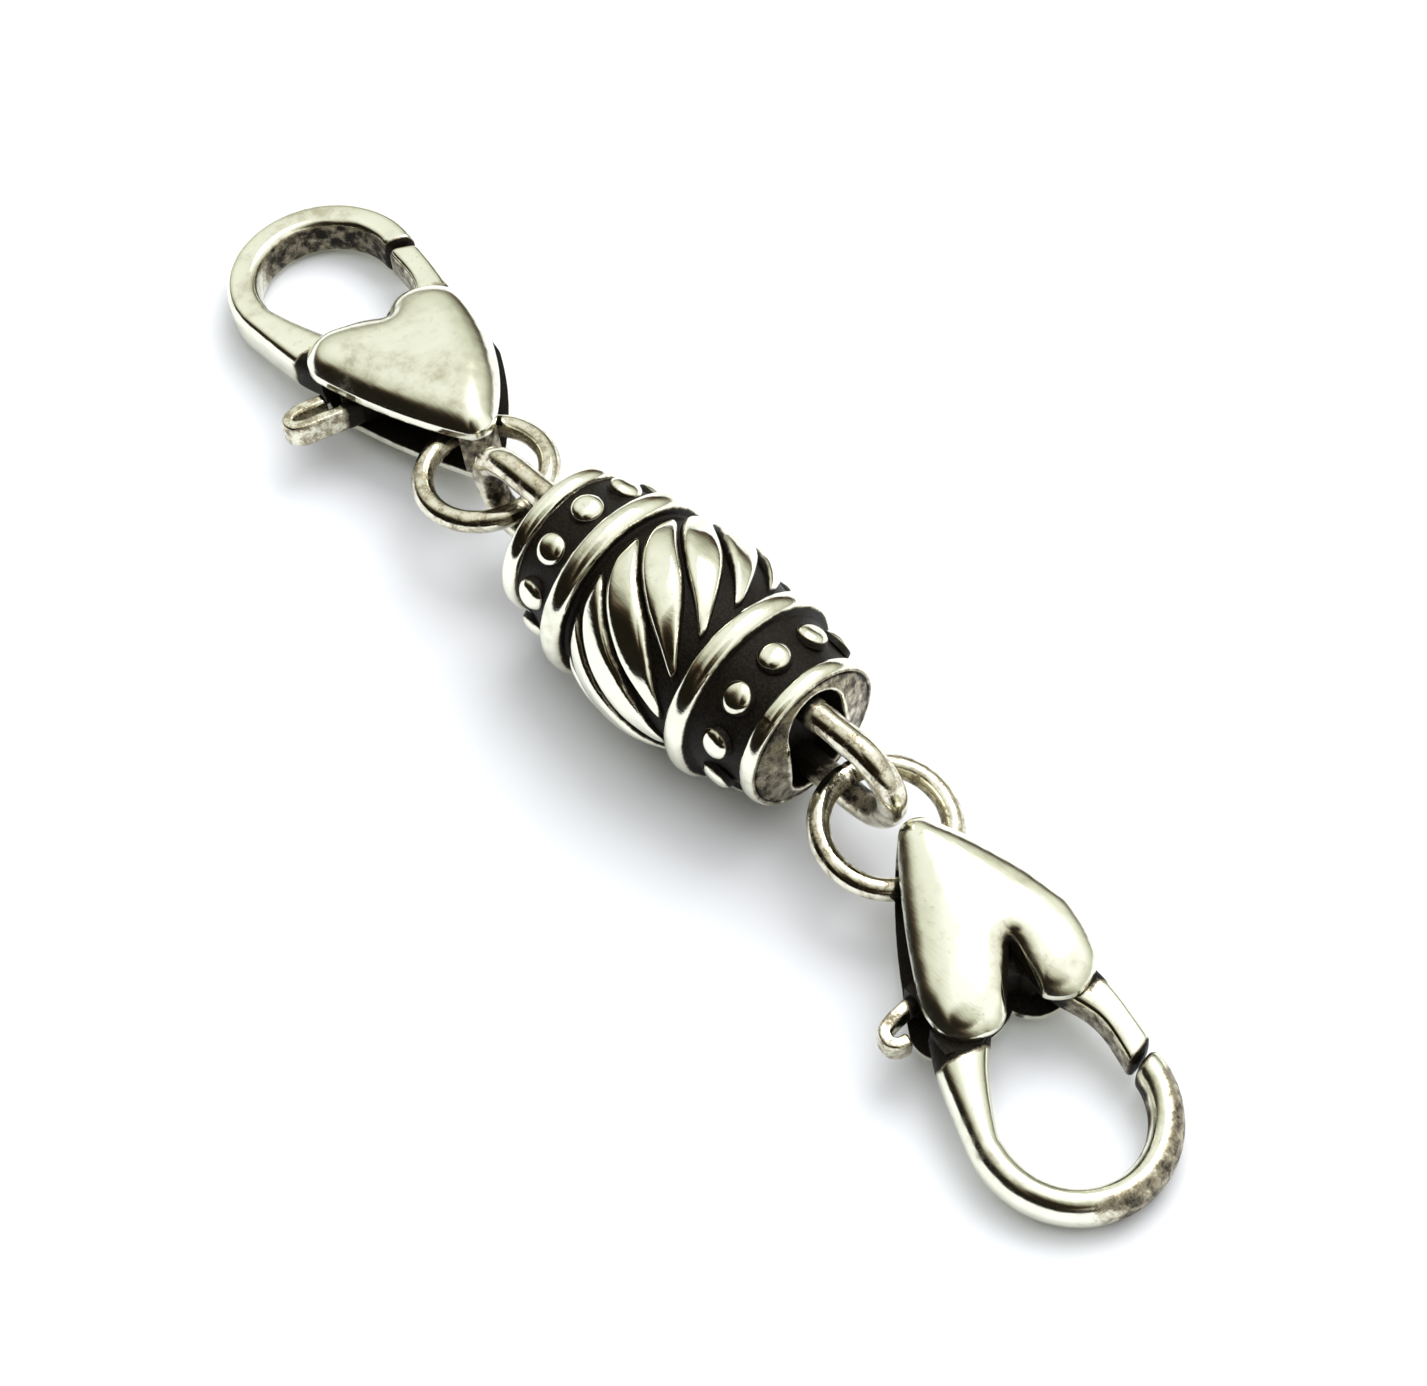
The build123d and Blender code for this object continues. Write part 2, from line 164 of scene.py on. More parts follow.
def arc_through(start: Pair, middle: Pair, end: Pair, count: int) -> Array:
    """Circular arc through three plan points, or the straight line where they are in line.

    Args:
        start: first point.
        middle: point on the arc.
        end: last point.
        count: how many points the arc gets, its end left out.

    Returns:
        (count, 2) points.
    """
    s, m, e = (np.asarray(p, float) for p in (start, middle, end))
    t = np.arange(count) / count
    d = 2 * (s[0] * (m[1] - e[1]) + m[0] * (e[1] - s[1]) + e[0] * (s[1] - m[1]))
    if abs(d) < SMALL:
        return s + (e - s) * t[:, None]
    squares = np.array([s @ s, m @ m, e @ e])
    rows = np.array([[m[1] - e[1], e[1] - s[1], s[1] - m[1]], [e[0] - m[0], s[0] - e[0], m[0] - s[0]]])
    centre = rows @ squares / d
    angle = [np.arctan2(*(p - centre)[::-1]) for p in (s, m, e)]
    to_end = (angle[2] - angle[0]) % (2 * np.pi)
    if (angle[1] - angle[0]) % (2 * np.pi) > to_end:
        to_end -= 2 * np.pi
    return on_circle(centre, np.linalg.norm(s - centre), angle[0] + to_end * t)


def depth_inside(points: Array, outline: Array, pull: Array) -> Array:
    """Soft distance from points to a closed outline: 1 / sqrt(I / 2), with I the integral of 1 / r^3 along it.

    Near one edge it is the plain distance. Where several edges are near it is less, without a crease.

    Args:
        points: (n, 2) points inside the outline.
        outline: (m, 2) corners of the outline.
        pull: (m,) weight of each of its runs; a run of less weight counts as further away.

    Returns:
        (n,) distances.
    """
    off_edge = 1e-7  # square millimetres, so that nothing is divided by nought on an edge
    run = np.roll(outline, -1, 0) - outline
    length = np.linalg.norm(run, axis=1)
    along = run / length[:, None]
    offset = points[:, None] - outline[None]
    first = -np.einsum("nmk,mk->nm", offset, along)
    height = (offset**2).sum(-1) - first**2 + off_edge
    last = first + length
    total = last / np.sqrt(height + last**2) - first / np.sqrt(height + first**2)
    return 1 / np.sqrt((pull * total / height).sum(1) / 2)


def section(corners: float, count: int) -> Array:
    """Superellipse |w|^n + |h|^n = 1 with n the corners, 2 for round and more for squarer, as (count, 2) points."""
    circle = on_circle((0, 0), 1, np.arange(count) * 2 * np.pi / count)
    return np.sign(circle) * np.abs(circle) ** (2 / corners)


def tube(middle: Array, out: Array, side: Triple, radius: Array, around: Array) -> Array:
    """Round wire: at each point of its middle line a circle in the plane of the directions out and side."""
    turned = np.cos(around)[:, None] * out[:, None] + np.sin(around)[:, None] * np.array(side)
    return middle[:, None] + radius[..., None] * turned


def stand(name: str, data: bpy.types.ID) -> bpy.types.Object:
    """Puts an object with the given data in the scene."""
    thing = bpy.data.objects.new(name, data)
    bpy.context.scene.collection.objects.link(thing)
    return thing


@dataclass
class Frame:
    """A piece's own axes, in the barrel's millimetres."""

    origin: Array
    axes: Array  # rows: the local x, y and z directions

    def place(self, local: Array) -> Array:
        """Local points in the barrel's axes."""
        return self.origin + local @ self.axes


@dataclass
class Shell:
    """Closed skins gathered into one mesh, with a patina share at each point.

    The patina is 0 on polished metal and 1 where the oxide was left in. On the eye loops, the jump rings and the
    notched cheek it also carries painted shade, shown as dark as oxide.
    """

    points: list[Array] = field(default_factory=list)
    patina: list[Array] = field(default_factory=list)
    loops: list[Array] = field(default_factory=list)
    sizes: list[Array] = field(default_factory=list)
    count: int = 0

    def skin(self, rings: Array, patina: Array | float, ends: Ends = Ends.CAPPED) -> None:
        """Adds a closed skin: rings of points joined by four-sided faces, turned to face outwards.

        Args:
            rings: (rows, columns, 3) points; each row is a closed ring.
            patina: (rows, columns) shares, or one share for the whole skin.
            ends: flat caps, or the last ring joined to the first.
        """
        rows, columns = rings.shape[:2]
        index = self.count + np.arange(rows * columns).reshape(rows, columns)
        above = np.roll(index, -1, 0) if ends is Ends.JOINED else index[1:]
        below = index if ends is Ends.JOINED else index[:-1]
        quads = np.stack([below, np.roll(below, -1, 1), np.roll(above, -1, 1), above], -1).reshape(-1, 4)
        corner = rings.reshape(-1, 3)[quads - self.count]
        first, second = corner[:, 2] - corner[:, 0], corner[:, 3] - corner[:, 1]
        volume = np.einsum("ij,ij->", corner.mean(1) - rings.mean((0, 1)), np.cross(first, second))
        caps = [] if ends is Ends.JOINED else [index[0][::-1], index[-1]]
        if volume < 0:
            quads = quads[:, ::-1]
            caps = [cap[::-1] for cap in caps]
        self.points.append(rings.reshape(-1, 3))
        self.patina.append(np.broadcast_to(np.asarray(patina, float), (rows, columns)).reshape(-1))
        self.loops.append(quads.reshape(-1))
        self.sizes.append(np.full(len(quads), 4))
        for cap in caps:
            self.loops.append(cap)
            self.sizes.append(np.array([columns]))
        self.count += rows * columns

    def make(self, name: str, origin: Array, crease: float = 38) -> bpy.types.Object:
        """The skins as one object at the frame's origin, its place in its mesh.

        Args:
            name: the piece's name.
            origin: the barrel's middle in the frame, in millimetres.
            crease: edges that turn by more than this stay crisp.

        Returns:
            The object, linked to the scene.
        """
        mesh = bpy.data.meshes.new(name)
        loops, sizes = np.concatenate(self.loops), np.concatenate(self.sizes)
        mesh.vertices.add(self.count)
        mesh.vertices.foreach_set("co", ((np.concatenate(self.points) + origin) * MM).astype(np.float32).ravel())
        mesh.loops.add(len(loops))
        mesh.loops.foreach_set("vertex_index", loops.astype(np.int32))
        mesh.polygons.add(len(sizes))
        mesh.polygons.foreach_set("loop_start", (np.cumsum(sizes) - sizes).astype(np.int32))
        shade = mesh.attributes.new(PATINA, "FLOAT", "POINT")
        shade.data.foreach_set("value", np.concatenate(self.patina).astype(np.float32))
        mesh.update(calc_edges=True)
        mesh.polygons.foreach_set("use_smooth", np.ones(len(sizes), bool))
        mesh.set_sharp_from_angle(angle=np.radians(crease))
        mesh.validate()
        return stand(name, mesh)


# ---------------------------------------------------------------- finishes


class Graph:
    """The nodes of a material or a world, made one call at a time."""

    def __init__(self, owner: bpy.types.Material | bpy.types.World) -> None:
        """Empties the owner's node tree.

        Args:
            owner: the material or world.
        """
        owner.use_nodes = True
        self.tree = owner.node_tree
        self.tree.nodes.clear()

    def add(self, kind: str, values: dict | None = None, **settings: object) -> bpy.types.Node:
        """Adds a node.

        Args:
            kind: the node's type name without its ShaderNode prefix.
            values: socket names or numbers, each with a fixed value or the socket that feeds it.
            **settings: the node's own properties.

        Returns:
            The node.
        """
        node = self.tree.nodes.new("ShaderNode" + kind)
        for key, value in settings.items():
            setattr(node, key, value)
        for key, value in (values or {}).items():
            socket = node.inputs[key]
            if isinstance(value, Socket):
                self.tree.links.new(value, socket)
            else:
                socket.default_value = value
        return node

    def ramp(self, factor: Socket, span: Pair, result: Pair = (0, 1)) -> Socket:
        """A smooth change between the two results, as the factor goes over the span."""
        values = dict(zip(("Value", "From Min", "From Max", "To Min", "To Max"), (factor, *span, *result)))
        return self.add("MapRange", values, interpolation_type="SMOOTHSTEP").outputs["Result"]

    def blend(self, factor: Socket, first: object, second: object) -> Socket:
        """A mix of two colours or colour sockets, with the factor the share of the second."""
        return self.add("Mix", {0: factor, 6: first, 7: second}, data_type="RGBA").outputs[2]

    def sum(self, first: object, second: object, operation: str = "ADD", clamp: bool = False) -> Socket:
        """A sum, product or other operation on two numbers or sockets, held between 0 and 1 where it is clamped."""
        return self.add("Math", {0: first, 1: second}, operation=operation, use_clamp=clamp).outputs[0]

    def dot(self, direction: Socket, weights: Triple) -> Socket:
        """The dot product of a direction and fixed weights."""
        return self.add("VectorMath", {0: direction, 1: weights}, operation="DOT_PRODUCT").outputs["Value"]


@dataclass(frozen=True)
class AntiqueSilver:
    """Polished silver with dark oxide in its recesses.

    The oxide follows the patina attribute, with an edge made ragged by noise and a brown film beside it. The polish
    has a faint warm and grey mottling, shallow dents a millimetre or two across, and fine scratches.
    """

    name: str
    metal: Colour = (0.93, 0.935, 0.79, 1)
    warm: Colour = (0.60, 0.58, 0.44, 1)
    film: Colour = (0.40, 0.33, 0.21, 1)
    oxide: Colour = (0.004, 0.003, 0.0025, 1)
    oxide_lit: Colour = (0.017, 0.013, 0.007, 1)
    polish: float = 0.10  # roughness of the brightest metal
    haze: float = 0.26  # roughness where it is dull
    oxide_rough: float = 0.26  # roughness that the oxide adds
    oxide_metallic: float = 0.2
    oxide_specular: float = 0.14
    tarnish: float = 0.45
    ragged: Pair = (0.16, 0.07)  # how far mottle and grain push the oxide's edge, as patina
    film_edge: Pair = (0.12, 0.46)  # patina over which the brown film comes in
    oxide_edge: Pair = (0.26, 0.78)  # patina over which the oxide covers the metal
    film_share: float = 0.8
    dull_edge: Pair = (0.05, 0.5)  # patina over which the polish goes dull
    dull_share: float = 0.55
    mottle_size: float = 0.55  # in millimetres, as every size and depth below
    cloud_size: float = 2.6
    grain_size: float = 0.12
    dent_size: float = 1.9
    dent: float = 0.05  # depth
    strokes: Triple = (900, 9000, 9000)  # scratches to a metre, along them and across
    strokes_turn: Triple = (0.3, 0.5, 0.9)  # radians
    scratch: float = 0.004  # depth
    pit_size: float = 0.22
    pit_share: float = 0.25
    pit: float = 0.035  # depth

    def make(self) -> bpy.types.Material:
        """The finish as a material.

        Returns:
            The material.
        """
        material = bpy.data.materials.new(self.name)
        g = Graph(material)
        place = g.add("TexCoord").outputs["Object"]
        patina = g.add("Attribute", attribute_name=PATINA).outputs["Fac"]

        def noise(size: float, detail: float, rough: float = 0.55) -> Socket:
            """Noise of the given size in millimetres."""
            values = {"Vector": place, "Scale": 1 / (size * MM), "Detail": detail, "Roughness": rough}
            return g.add("TexNoise", values).outputs["Fac"]

        mottle, cloud, grain = noise(self.mottle_size, 5), noise(self.cloud_size, 3), noise(self.grain_size, 4, 0.65)
        pushes = [g.ramp(part, (0.3, 0.7), (-far, far)) for part, far in zip((mottle, grain), self.ragged)]
        edge = g.sum(patina, g.sum(*pushes))
        oxide = g.ramp(edge, self.oxide_edge)
        dull = g.sum(g.ramp(cloud, (0.42, 0.72)), g.ramp(mottle, (0.35, 0.75), (0.25, 1)), "MULTIPLY")
        dull = g.sum(dull, g.ramp(edge, self.dull_edge, (0, self.dull_share)), "MAXIMUM")
        bright = g.blend(g.sum(dull, self.tarnish * 2, "MULTIPLY"), self.metal, self.warm)
        dark = g.blend(g.ramp(grain, (0.35, 0.7)), self.oxide, self.oxide_lit)
        toned = g.blend(g.ramp(edge, self.film_edge, (0, self.film_share)), bright, self.film)
        gloss = g.sum(g.ramp(dull, (0, 1), (self.polish, self.haze)), g.ramp(oxide, (0, 1), (0, self.oxide_rough)))

        strokes = g.add("Mapping", {"Vector": place, "Rotation": self.strokes_turn, "Scale": self.strokes})
        lines = g.add("TexNoise", {"Vector": strokes.outputs[0], "Scale": 1, "Detail": 3}).outputs["Fac"]
        pits = g.add("TexVoronoi", {"Vector": place, "Scale": 1 / (self.pit_size * MM)}).outputs["Distance"]
        pit = g.sum(g.ramp(pits, (0, 0.22), (1, 0)), g.ramp(mottle, (0.6, 0.75)), "MULTIPLY")
        rough = g.sum(g.sum(grain, oxide, "MULTIPLY"), g.sum(pit, -self.pit_share, "MULTIPLY"))
        dents = g.add("Bump", {"Height": noise(self.dent_size, 1.5), "Distance": self.dent * MM})
        fine = g.add("Bump", {"Height": lines, "Distance": self.scratch * MM, "Normal": dents.outputs[0]})
        pitted = g.add("Bump", {"Height": rough, "Distance": self.pit * MM, "Normal": fine.outputs[0]})
        look = {
            "Base Color": g.blend(oxide, toned, dark),
            "Metallic": g.ramp(oxide, (0, 1), (1, self.oxide_metallic)),
            "Roughness": gloss,
            "Specular IOR Level": g.ramp(oxide, (0, 1), (0.5, self.oxide_specular)),
            "Normal": pitted.outputs[0],
        }
        g.add("OutputMaterial", {"Surface": g.add("BsdfPrincipled", look).outputs[0]})
        return material


@dataclass(frozen=True)
class PaleFloor:
    """A matt white table top with the faintest clouding."""

    name: str = "pale_floor"
    light: Colour = (0.87, 0.88, 0.91, 1)
    shade: Colour = (0.84, 0.85, 0.885, 1)
    clouds: float = 14.0  # to a metre
    roughness: float = 0.8

    def make(self) -> bpy.types.Material:
        """The finish as a material.

        Returns:
            The material.
        """
        material = bpy.data.materials.new(self.name)
        g = Graph(material)
        place = g.add("TexCoord").outputs["Object"]
        cloud = g.add("TexNoise", {"Vector": place, "Scale": self.clouds, "Detail": 3}).outputs["Fac"]
        look = {"Base Color": g.blend(cloud, self.light, self.shade), "Roughness": self.roughness}
        g.add("OutputMaterial", {"Surface": g.add("BsdfPrincipled", look).outputs[0]})
        return material


# ---------------------------------------------------------------- barrel


@dataclass
class Barrel:
    """The cast barrel: fluted bulge, two raised rings, two bands of dots, end rims and oval recesses."""

    bulge_radius: float = 5.31
    core_radius: float = 4.72
    core_end_radius: float = 4.22
    ring_x: float = 4.10
    ring_width: float = 1.26
    ring_crest: float = 4.96
    ring_power: float = 0.62  # exponent of the sine that rounds its section, as for the rim
    band_start: float = 4.30
    band_end: float = 3.62
    band_hollow: float = 0.05
    rim_x: float = 7.88
    rim_width: float = 0.92
    rim_crest: float = 3.95
    rim_power: float = 0.8
    crease_radius: float = 3.50
    face_bulge: float = 0.55
    dots: int = 10
    dot_radius: float = 0.88
    dot_x: float = 6.05
    dot_rise: float = 0.44
    dot_sunk: float = 0.14
    dot_power: float = 2.8
    dot_uneven: Pair = (0.05, 0.03)  # share of its size, and shift along the barrel
    dot_phase: dict[Side, float] = field(default_factory=lambda: {Side.RIGHT: -37.2, Side.LEFT: 0.0})  # from the top
    flutes: int = 12
    flute_half: float = 3.06
    flute_twist: float = 8.5  # degrees to a millimetre
    flute_curl: float = 0.5  # how much more it turns at its ends, as a share
    flute_phase: float = 10.7
    flute_angle: float = 14.3  # from its middle to its edge
    flute_fade: Pair = (0.42, 0.55)  # lengths over which a flute runs out, left and right
    flute_uneven: Pair = (0.05, 0.06)  # shares of its width and height
    recess_width: float = 3.30
    recess_height: float = 6.24
    recess_depth: float = 2.25
    lip: float = 0.14  # radius of the recess's rounded edge
    wear: float = 0.018
    wear_size: float = 2.4  # shortest wave of the wear
    cell: int = 26  # columns to a flute and its groove
    on_flute: int = 10  # columns from a flute's middle to its edge
    seed: int = 7

    @property
    def ring_span(self) -> Pair:
        """Where a raised ring starts and ends along the axis."""
        return self.ring_x - self.ring_width / 2, self.ring_x + self.ring_width / 2

    @property
    def rim_span(self) -> Pair:
        """Where an end rim starts and ends along the axis."""
        return self.rim_x - self.rim_width / 2, self.rim_x + self.rim_width / 2

    def floor(self, x: Array) -> Array:
        """Radius of the grooves' floor at x: a parabola from the middle to beside the rings."""
        reach = (self.flute_half + self.ring_span[0]) / 2
        return self.core_radius - (self.core_radius - self.core_end_radius) * (x / reach) ** 2

    def recess(self, angle: Array) -> Array:
        """Distance from the axis to the recess's wall: the edge of a slot with round ends, seen from its middle.

        Args:
            angle: radians from the top.

        Returns:
            Distance in millimetres.
        """
        half, straight = self.recess_width / 2, (self.recess_height - self.recess_width) / 2
        across, up = np.abs(np.sin(angle)), np.abs(np.cos(angle))
        side = half / np.maximum(across, SMALL)
        end = straight * up + np.sqrt(np.maximum(half**2 - (straight * across) ** 2, 0))
        return np.where(side * up <= straight, side, end)

    def face(self, radius: Array) -> Array:
        """How far out the domed end face stands at a distance from the axis: a parabola inside the rim."""
        return self.rim_span[1] + self.face_bulge * (1 - (radius / self.crease_radius) ** 2)

    def flute_shares(self, draws: int, uneven: float) -> Array:
        """Each column's own factor about 1, drawn once for its flute."""
        shares = 1 + np.random.default_rng(self.seed + draws).uniform(-uneven, uneven, self.flutes)
        return np.repeat(shares, self.cell)

    def end_rows(self, hole: Array) -> tuple[Array, Array, Array]:
        """Rows from the recess's floor out over the end face, rim, dot band and ring to the grooves.

        Each row gives the place along the axis and the distance from it. The recess's rows follow its wall, the end
        face's rows go from the wall to a circle by even shares, and the rest are circles.

        Args:
            hole: distance to the recess's wall at each column.

        Returns:
            x, radius and patina, each (rows, columns).
        """
        rows: list[tuple[object, object, float]] = []
        (rim_in, rim_out), (ring_in, ring_out), lip = self.rim_span, self.ring_span, self.lip
        bottom = rim_out + self.face_bulge - self.recess_depth
        mouth = self.face(hole)
        rows += [(bottom, hole * share, 1.0) for share in (0.25, 0.97)]
        rows += [(bottom + (mouth - lip - bottom) * share, hole, 1.0) for share in (0.03, 0.35, 0.7, 0.9)]
        for step in np.linspace(0, 90, 5):
            turn = np.radians(step)
            rows.append((mouth - lip * (1 - np.sin(turn)), hole + lip * (1 - np.cos(turn)), 0.95 - 0.85 * step / 90))
        for share in np.linspace(0.12, 1, 8):
            radius = hole + lip + (self.crease_radius - hole - lip) * share
            rows.append((self.face(radius), radius, 0.50 + 0.15 * share**4))
        rows += [(rim_out - 0.07, self.crease_radius + 0.03, 0.75), (rim_out - 0.06, self.band_end - 0.03, 0.75)]
        for turn in np.radians(np.linspace(4, 176, 15)):
            x = self.rim_x + self.rim_width / 2 * np.cos(turn)
            radius = self.band_end + (self.rim_crest - self.band_end) * np.sin(turn) ** self.rim_power
            rows.append((x, radius, 0.0 if np.sin(turn) > 0.45 else 0.45))
        for share in np.linspace(0.02, 0.98, 12):
            hollow = self.band_hollow * np.sin(np.pi * share)
            radius = self.band_end + (self.band_start - self.band_end) * share - hollow
            rows.append((rim_in + (ring_out - rim_in) * share, radius, 1.0))
        for turn in np.radians(np.linspace(2, 178, 19)):
            x = self.ring_x + self.ring_width / 2 * np.cos(turn)
            foot = self.band_start if turn < np.pi / 2 else self.core_end_radius
            radius = foot + (self.ring_crest - foot) * np.sin(turn) ** self.ring_power
            rows.append((x, radius, float(1 - smooth(np.sin(turn), 0.22, 0.55))))
        for share in (0.35, 0.7):
            x = ring_in + (self.flute_half - ring_in) * share
            rows.append((x, self.floor(x), 1.0))
        wide = [[np.broadcast_to(np.asarray(value, float), hole.shape) for value in row] for row in rows]
        return tuple(np.stack(part) for part in zip(*wide))

    def flute_width(self, place: Array) -> Array:
        """Half width of a flute as a share of its widest: round at one end, drawn to a point at the other.

        Args:
            place: -1 at the round end to 1 at the point.

        Returns:
            The share: sqrt(1 - 0.82 b^2) over the round end times 1 - 0.76 p^1.6 towards the point.
        """
        blunt = np.sqrt(1 - 0.82 * (np.maximum(0, -0.6 - place) / 0.4) ** 2)
        point = 1 - 0.76 * (np.maximum(0, place - 0.10) / 0.90) ** 1.6
        return blunt * point

    def columns(self, x: Array) -> tuple[Array, Array]:
        """Angle of each column at x, so that columns run along the flutes' edges.

        A cell's columns spread over half a flute by the sine of their share and then over its groove evenly. Past the
        flutes' ends they slide back to even steps.

        Args:
            x: (rows, 1) places along the axis.

        Returns:
            (rows, columns) angles in radians and the columns' places across their flute, from -1 to 1.
        """
        step = np.arange(self.flutes * self.cell)
        t = step % self.cell - self.cell // 2
        number = step // self.cell
        pitch = 360 / self.flutes
        held = np.clip(x, -self.flute_half, self.flute_half)
        place = held / self.flute_half
        width = self.flute_angle * self.flute_width(place) * self.flute_shares(0, self.flute_uneven[0])
        across = np.sin(np.pi / 2 * np.clip(t / self.on_flute, -1, 1))
        rest = np.maximum(0, np.abs(t) - self.on_flute) / (self.cell / 2 - self.on_flute)
        near = width * across + np.sign(t) * (pitch / 2 - width) * rest
        even = pitch * t / self.cell
        away = smooth(np.abs(x), self.flute_half - 0.02, self.ring_span[0])
        swung = self.flute_twist * held * (1 + self.flute_curl * place**2)
        angle = self.flute_phase + swung + number * pitch + near * (1 - away) + even * away
        return np.radians(angle), across * (rest == 0) + np.sign(t) * (rest > 0)

    def bulge_rows(self) -> tuple[Array, Array, Array, Array]:
        """Rows of the fluted bulge: the grooves' floor with each flute standing on it.

        A flute's height across is (1 - |q|^5)^0.6 of its crest. Along it, the height falls to nothing at either end
        as a quarter of an ellipse.

        Returns:
            x, radius, angle and patina, each (rows, columns).
        """
        x = np.linspace(self.flute_half, -self.flute_half, 100)[:, None]
        angle, across = self.columns(x)
        place = x / self.flute_half
        share = self.flute_width(place)
        tall = self.flute_shares(1, self.flute_uneven[1])
        rise = (self.bulge_radius - self.core_radius) * (1 - 0.45 * place**2) * np.sqrt(np.minimum(1, share + 0.12))
        left = np.clip((x + self.flute_half) / self.flute_fade[0], 0, 1)
        right = np.clip((self.flute_half - x) / self.flute_fade[1], 0, 1)
        fade = np.sqrt(1 - (1 - left) ** 2) * np.sqrt(1 - (1 - right) ** 2)
        crown = np.maximum(0, 1 - np.abs(across) ** 5) ** 0.6 * fade
        radius = self.floor(x) + rise * np.minimum(tall, 1) * crown
        patina = 1 - smooth(crown, 0.46, 0.84)
        return np.broadcast_to(x, angle.shape), radius, angle, patina

    def skins(self) -> Shell:
        """The whole barrel with its dots.

        Returns:
            The shell.
        """
        shell = Shell()
        ends = {}
        for side in Side:
            edge_angle, _ = self.columns(np.array([[side.sign * self.ring_x]]))
            x, radius, patina = self.end_rows(self.recess(edge_angle[0]))
            ends[side] = (side.sign * x, radius, self.columns(side.sign * x)[0], patina)
        left = [part[::-1] for part in ends[Side.LEFT]]
        parts = zip(ends[Side.RIGHT], self.bulge_rows(), left)
        x, radius, angle, patina = (np.concatenate(part) for part in parts)
        worn = self.wear * (1 + ripple(x, radius * angle, self.wear_size, self.seed))
        radius = radius - worn * (radius > self.crease_radius)
        rings = np.stack([x, -radius * np.sin(angle), radius * np.cos(angle)], -1)
        shell.skin(rings, patina)
        self.add_dots(shell)
        return shell

    def add_dots(self, shell: Shell) -> None:
        """Adds the raised dots: low domes of height sqrt(1 - r^2.8) over a round foot, each a little off true.

        Args:
            shell: the shell that takes them.
        """
        rim_in, ring_out = self.rim_span[0], self.ring_span[1]
        slope = (self.band_start - self.band_end) / (rim_in - ring_out)
        bed = self.band_start - slope * (self.dot_x - ring_out) - self.dot_sunk
        smaller, shift = self.dot_uneven
        draw = np.random.default_rng(self.seed + 2)
        fall = np.linspace(0.04, 1, 13)[:, None]
        turn = turns(26)[None, :]
        for side in (Side.RIGHT, Side.LEFT):
            for number in range(self.dots):
                centre = np.radians(self.dot_phase[side] + number * 360 / self.dots)
                size = self.dot_radius * (1 - draw.uniform(0, smaller))
                along = size * fall * np.cos(turn)
                across = size * fall * np.sin(turn)
                out = bed + (self.dot_rise + self.dot_sunk) * np.sqrt(1 - fall**self.dot_power) + 0 * turn
                rings = np.stack(
                    [
                        side.sign * self.dot_x + along + draw.uniform(-shift, shift),
                        -out * np.sin(centre) - across * np.cos(centre),
                        out * np.cos(centre) - across * np.sin(centre),
                    ],
                    -1,
                )
                shell.skin(rings, smooth(fall + 0 * turn, 0.82, 0.95))


# ---------------------------------------------------------------- wire pieces


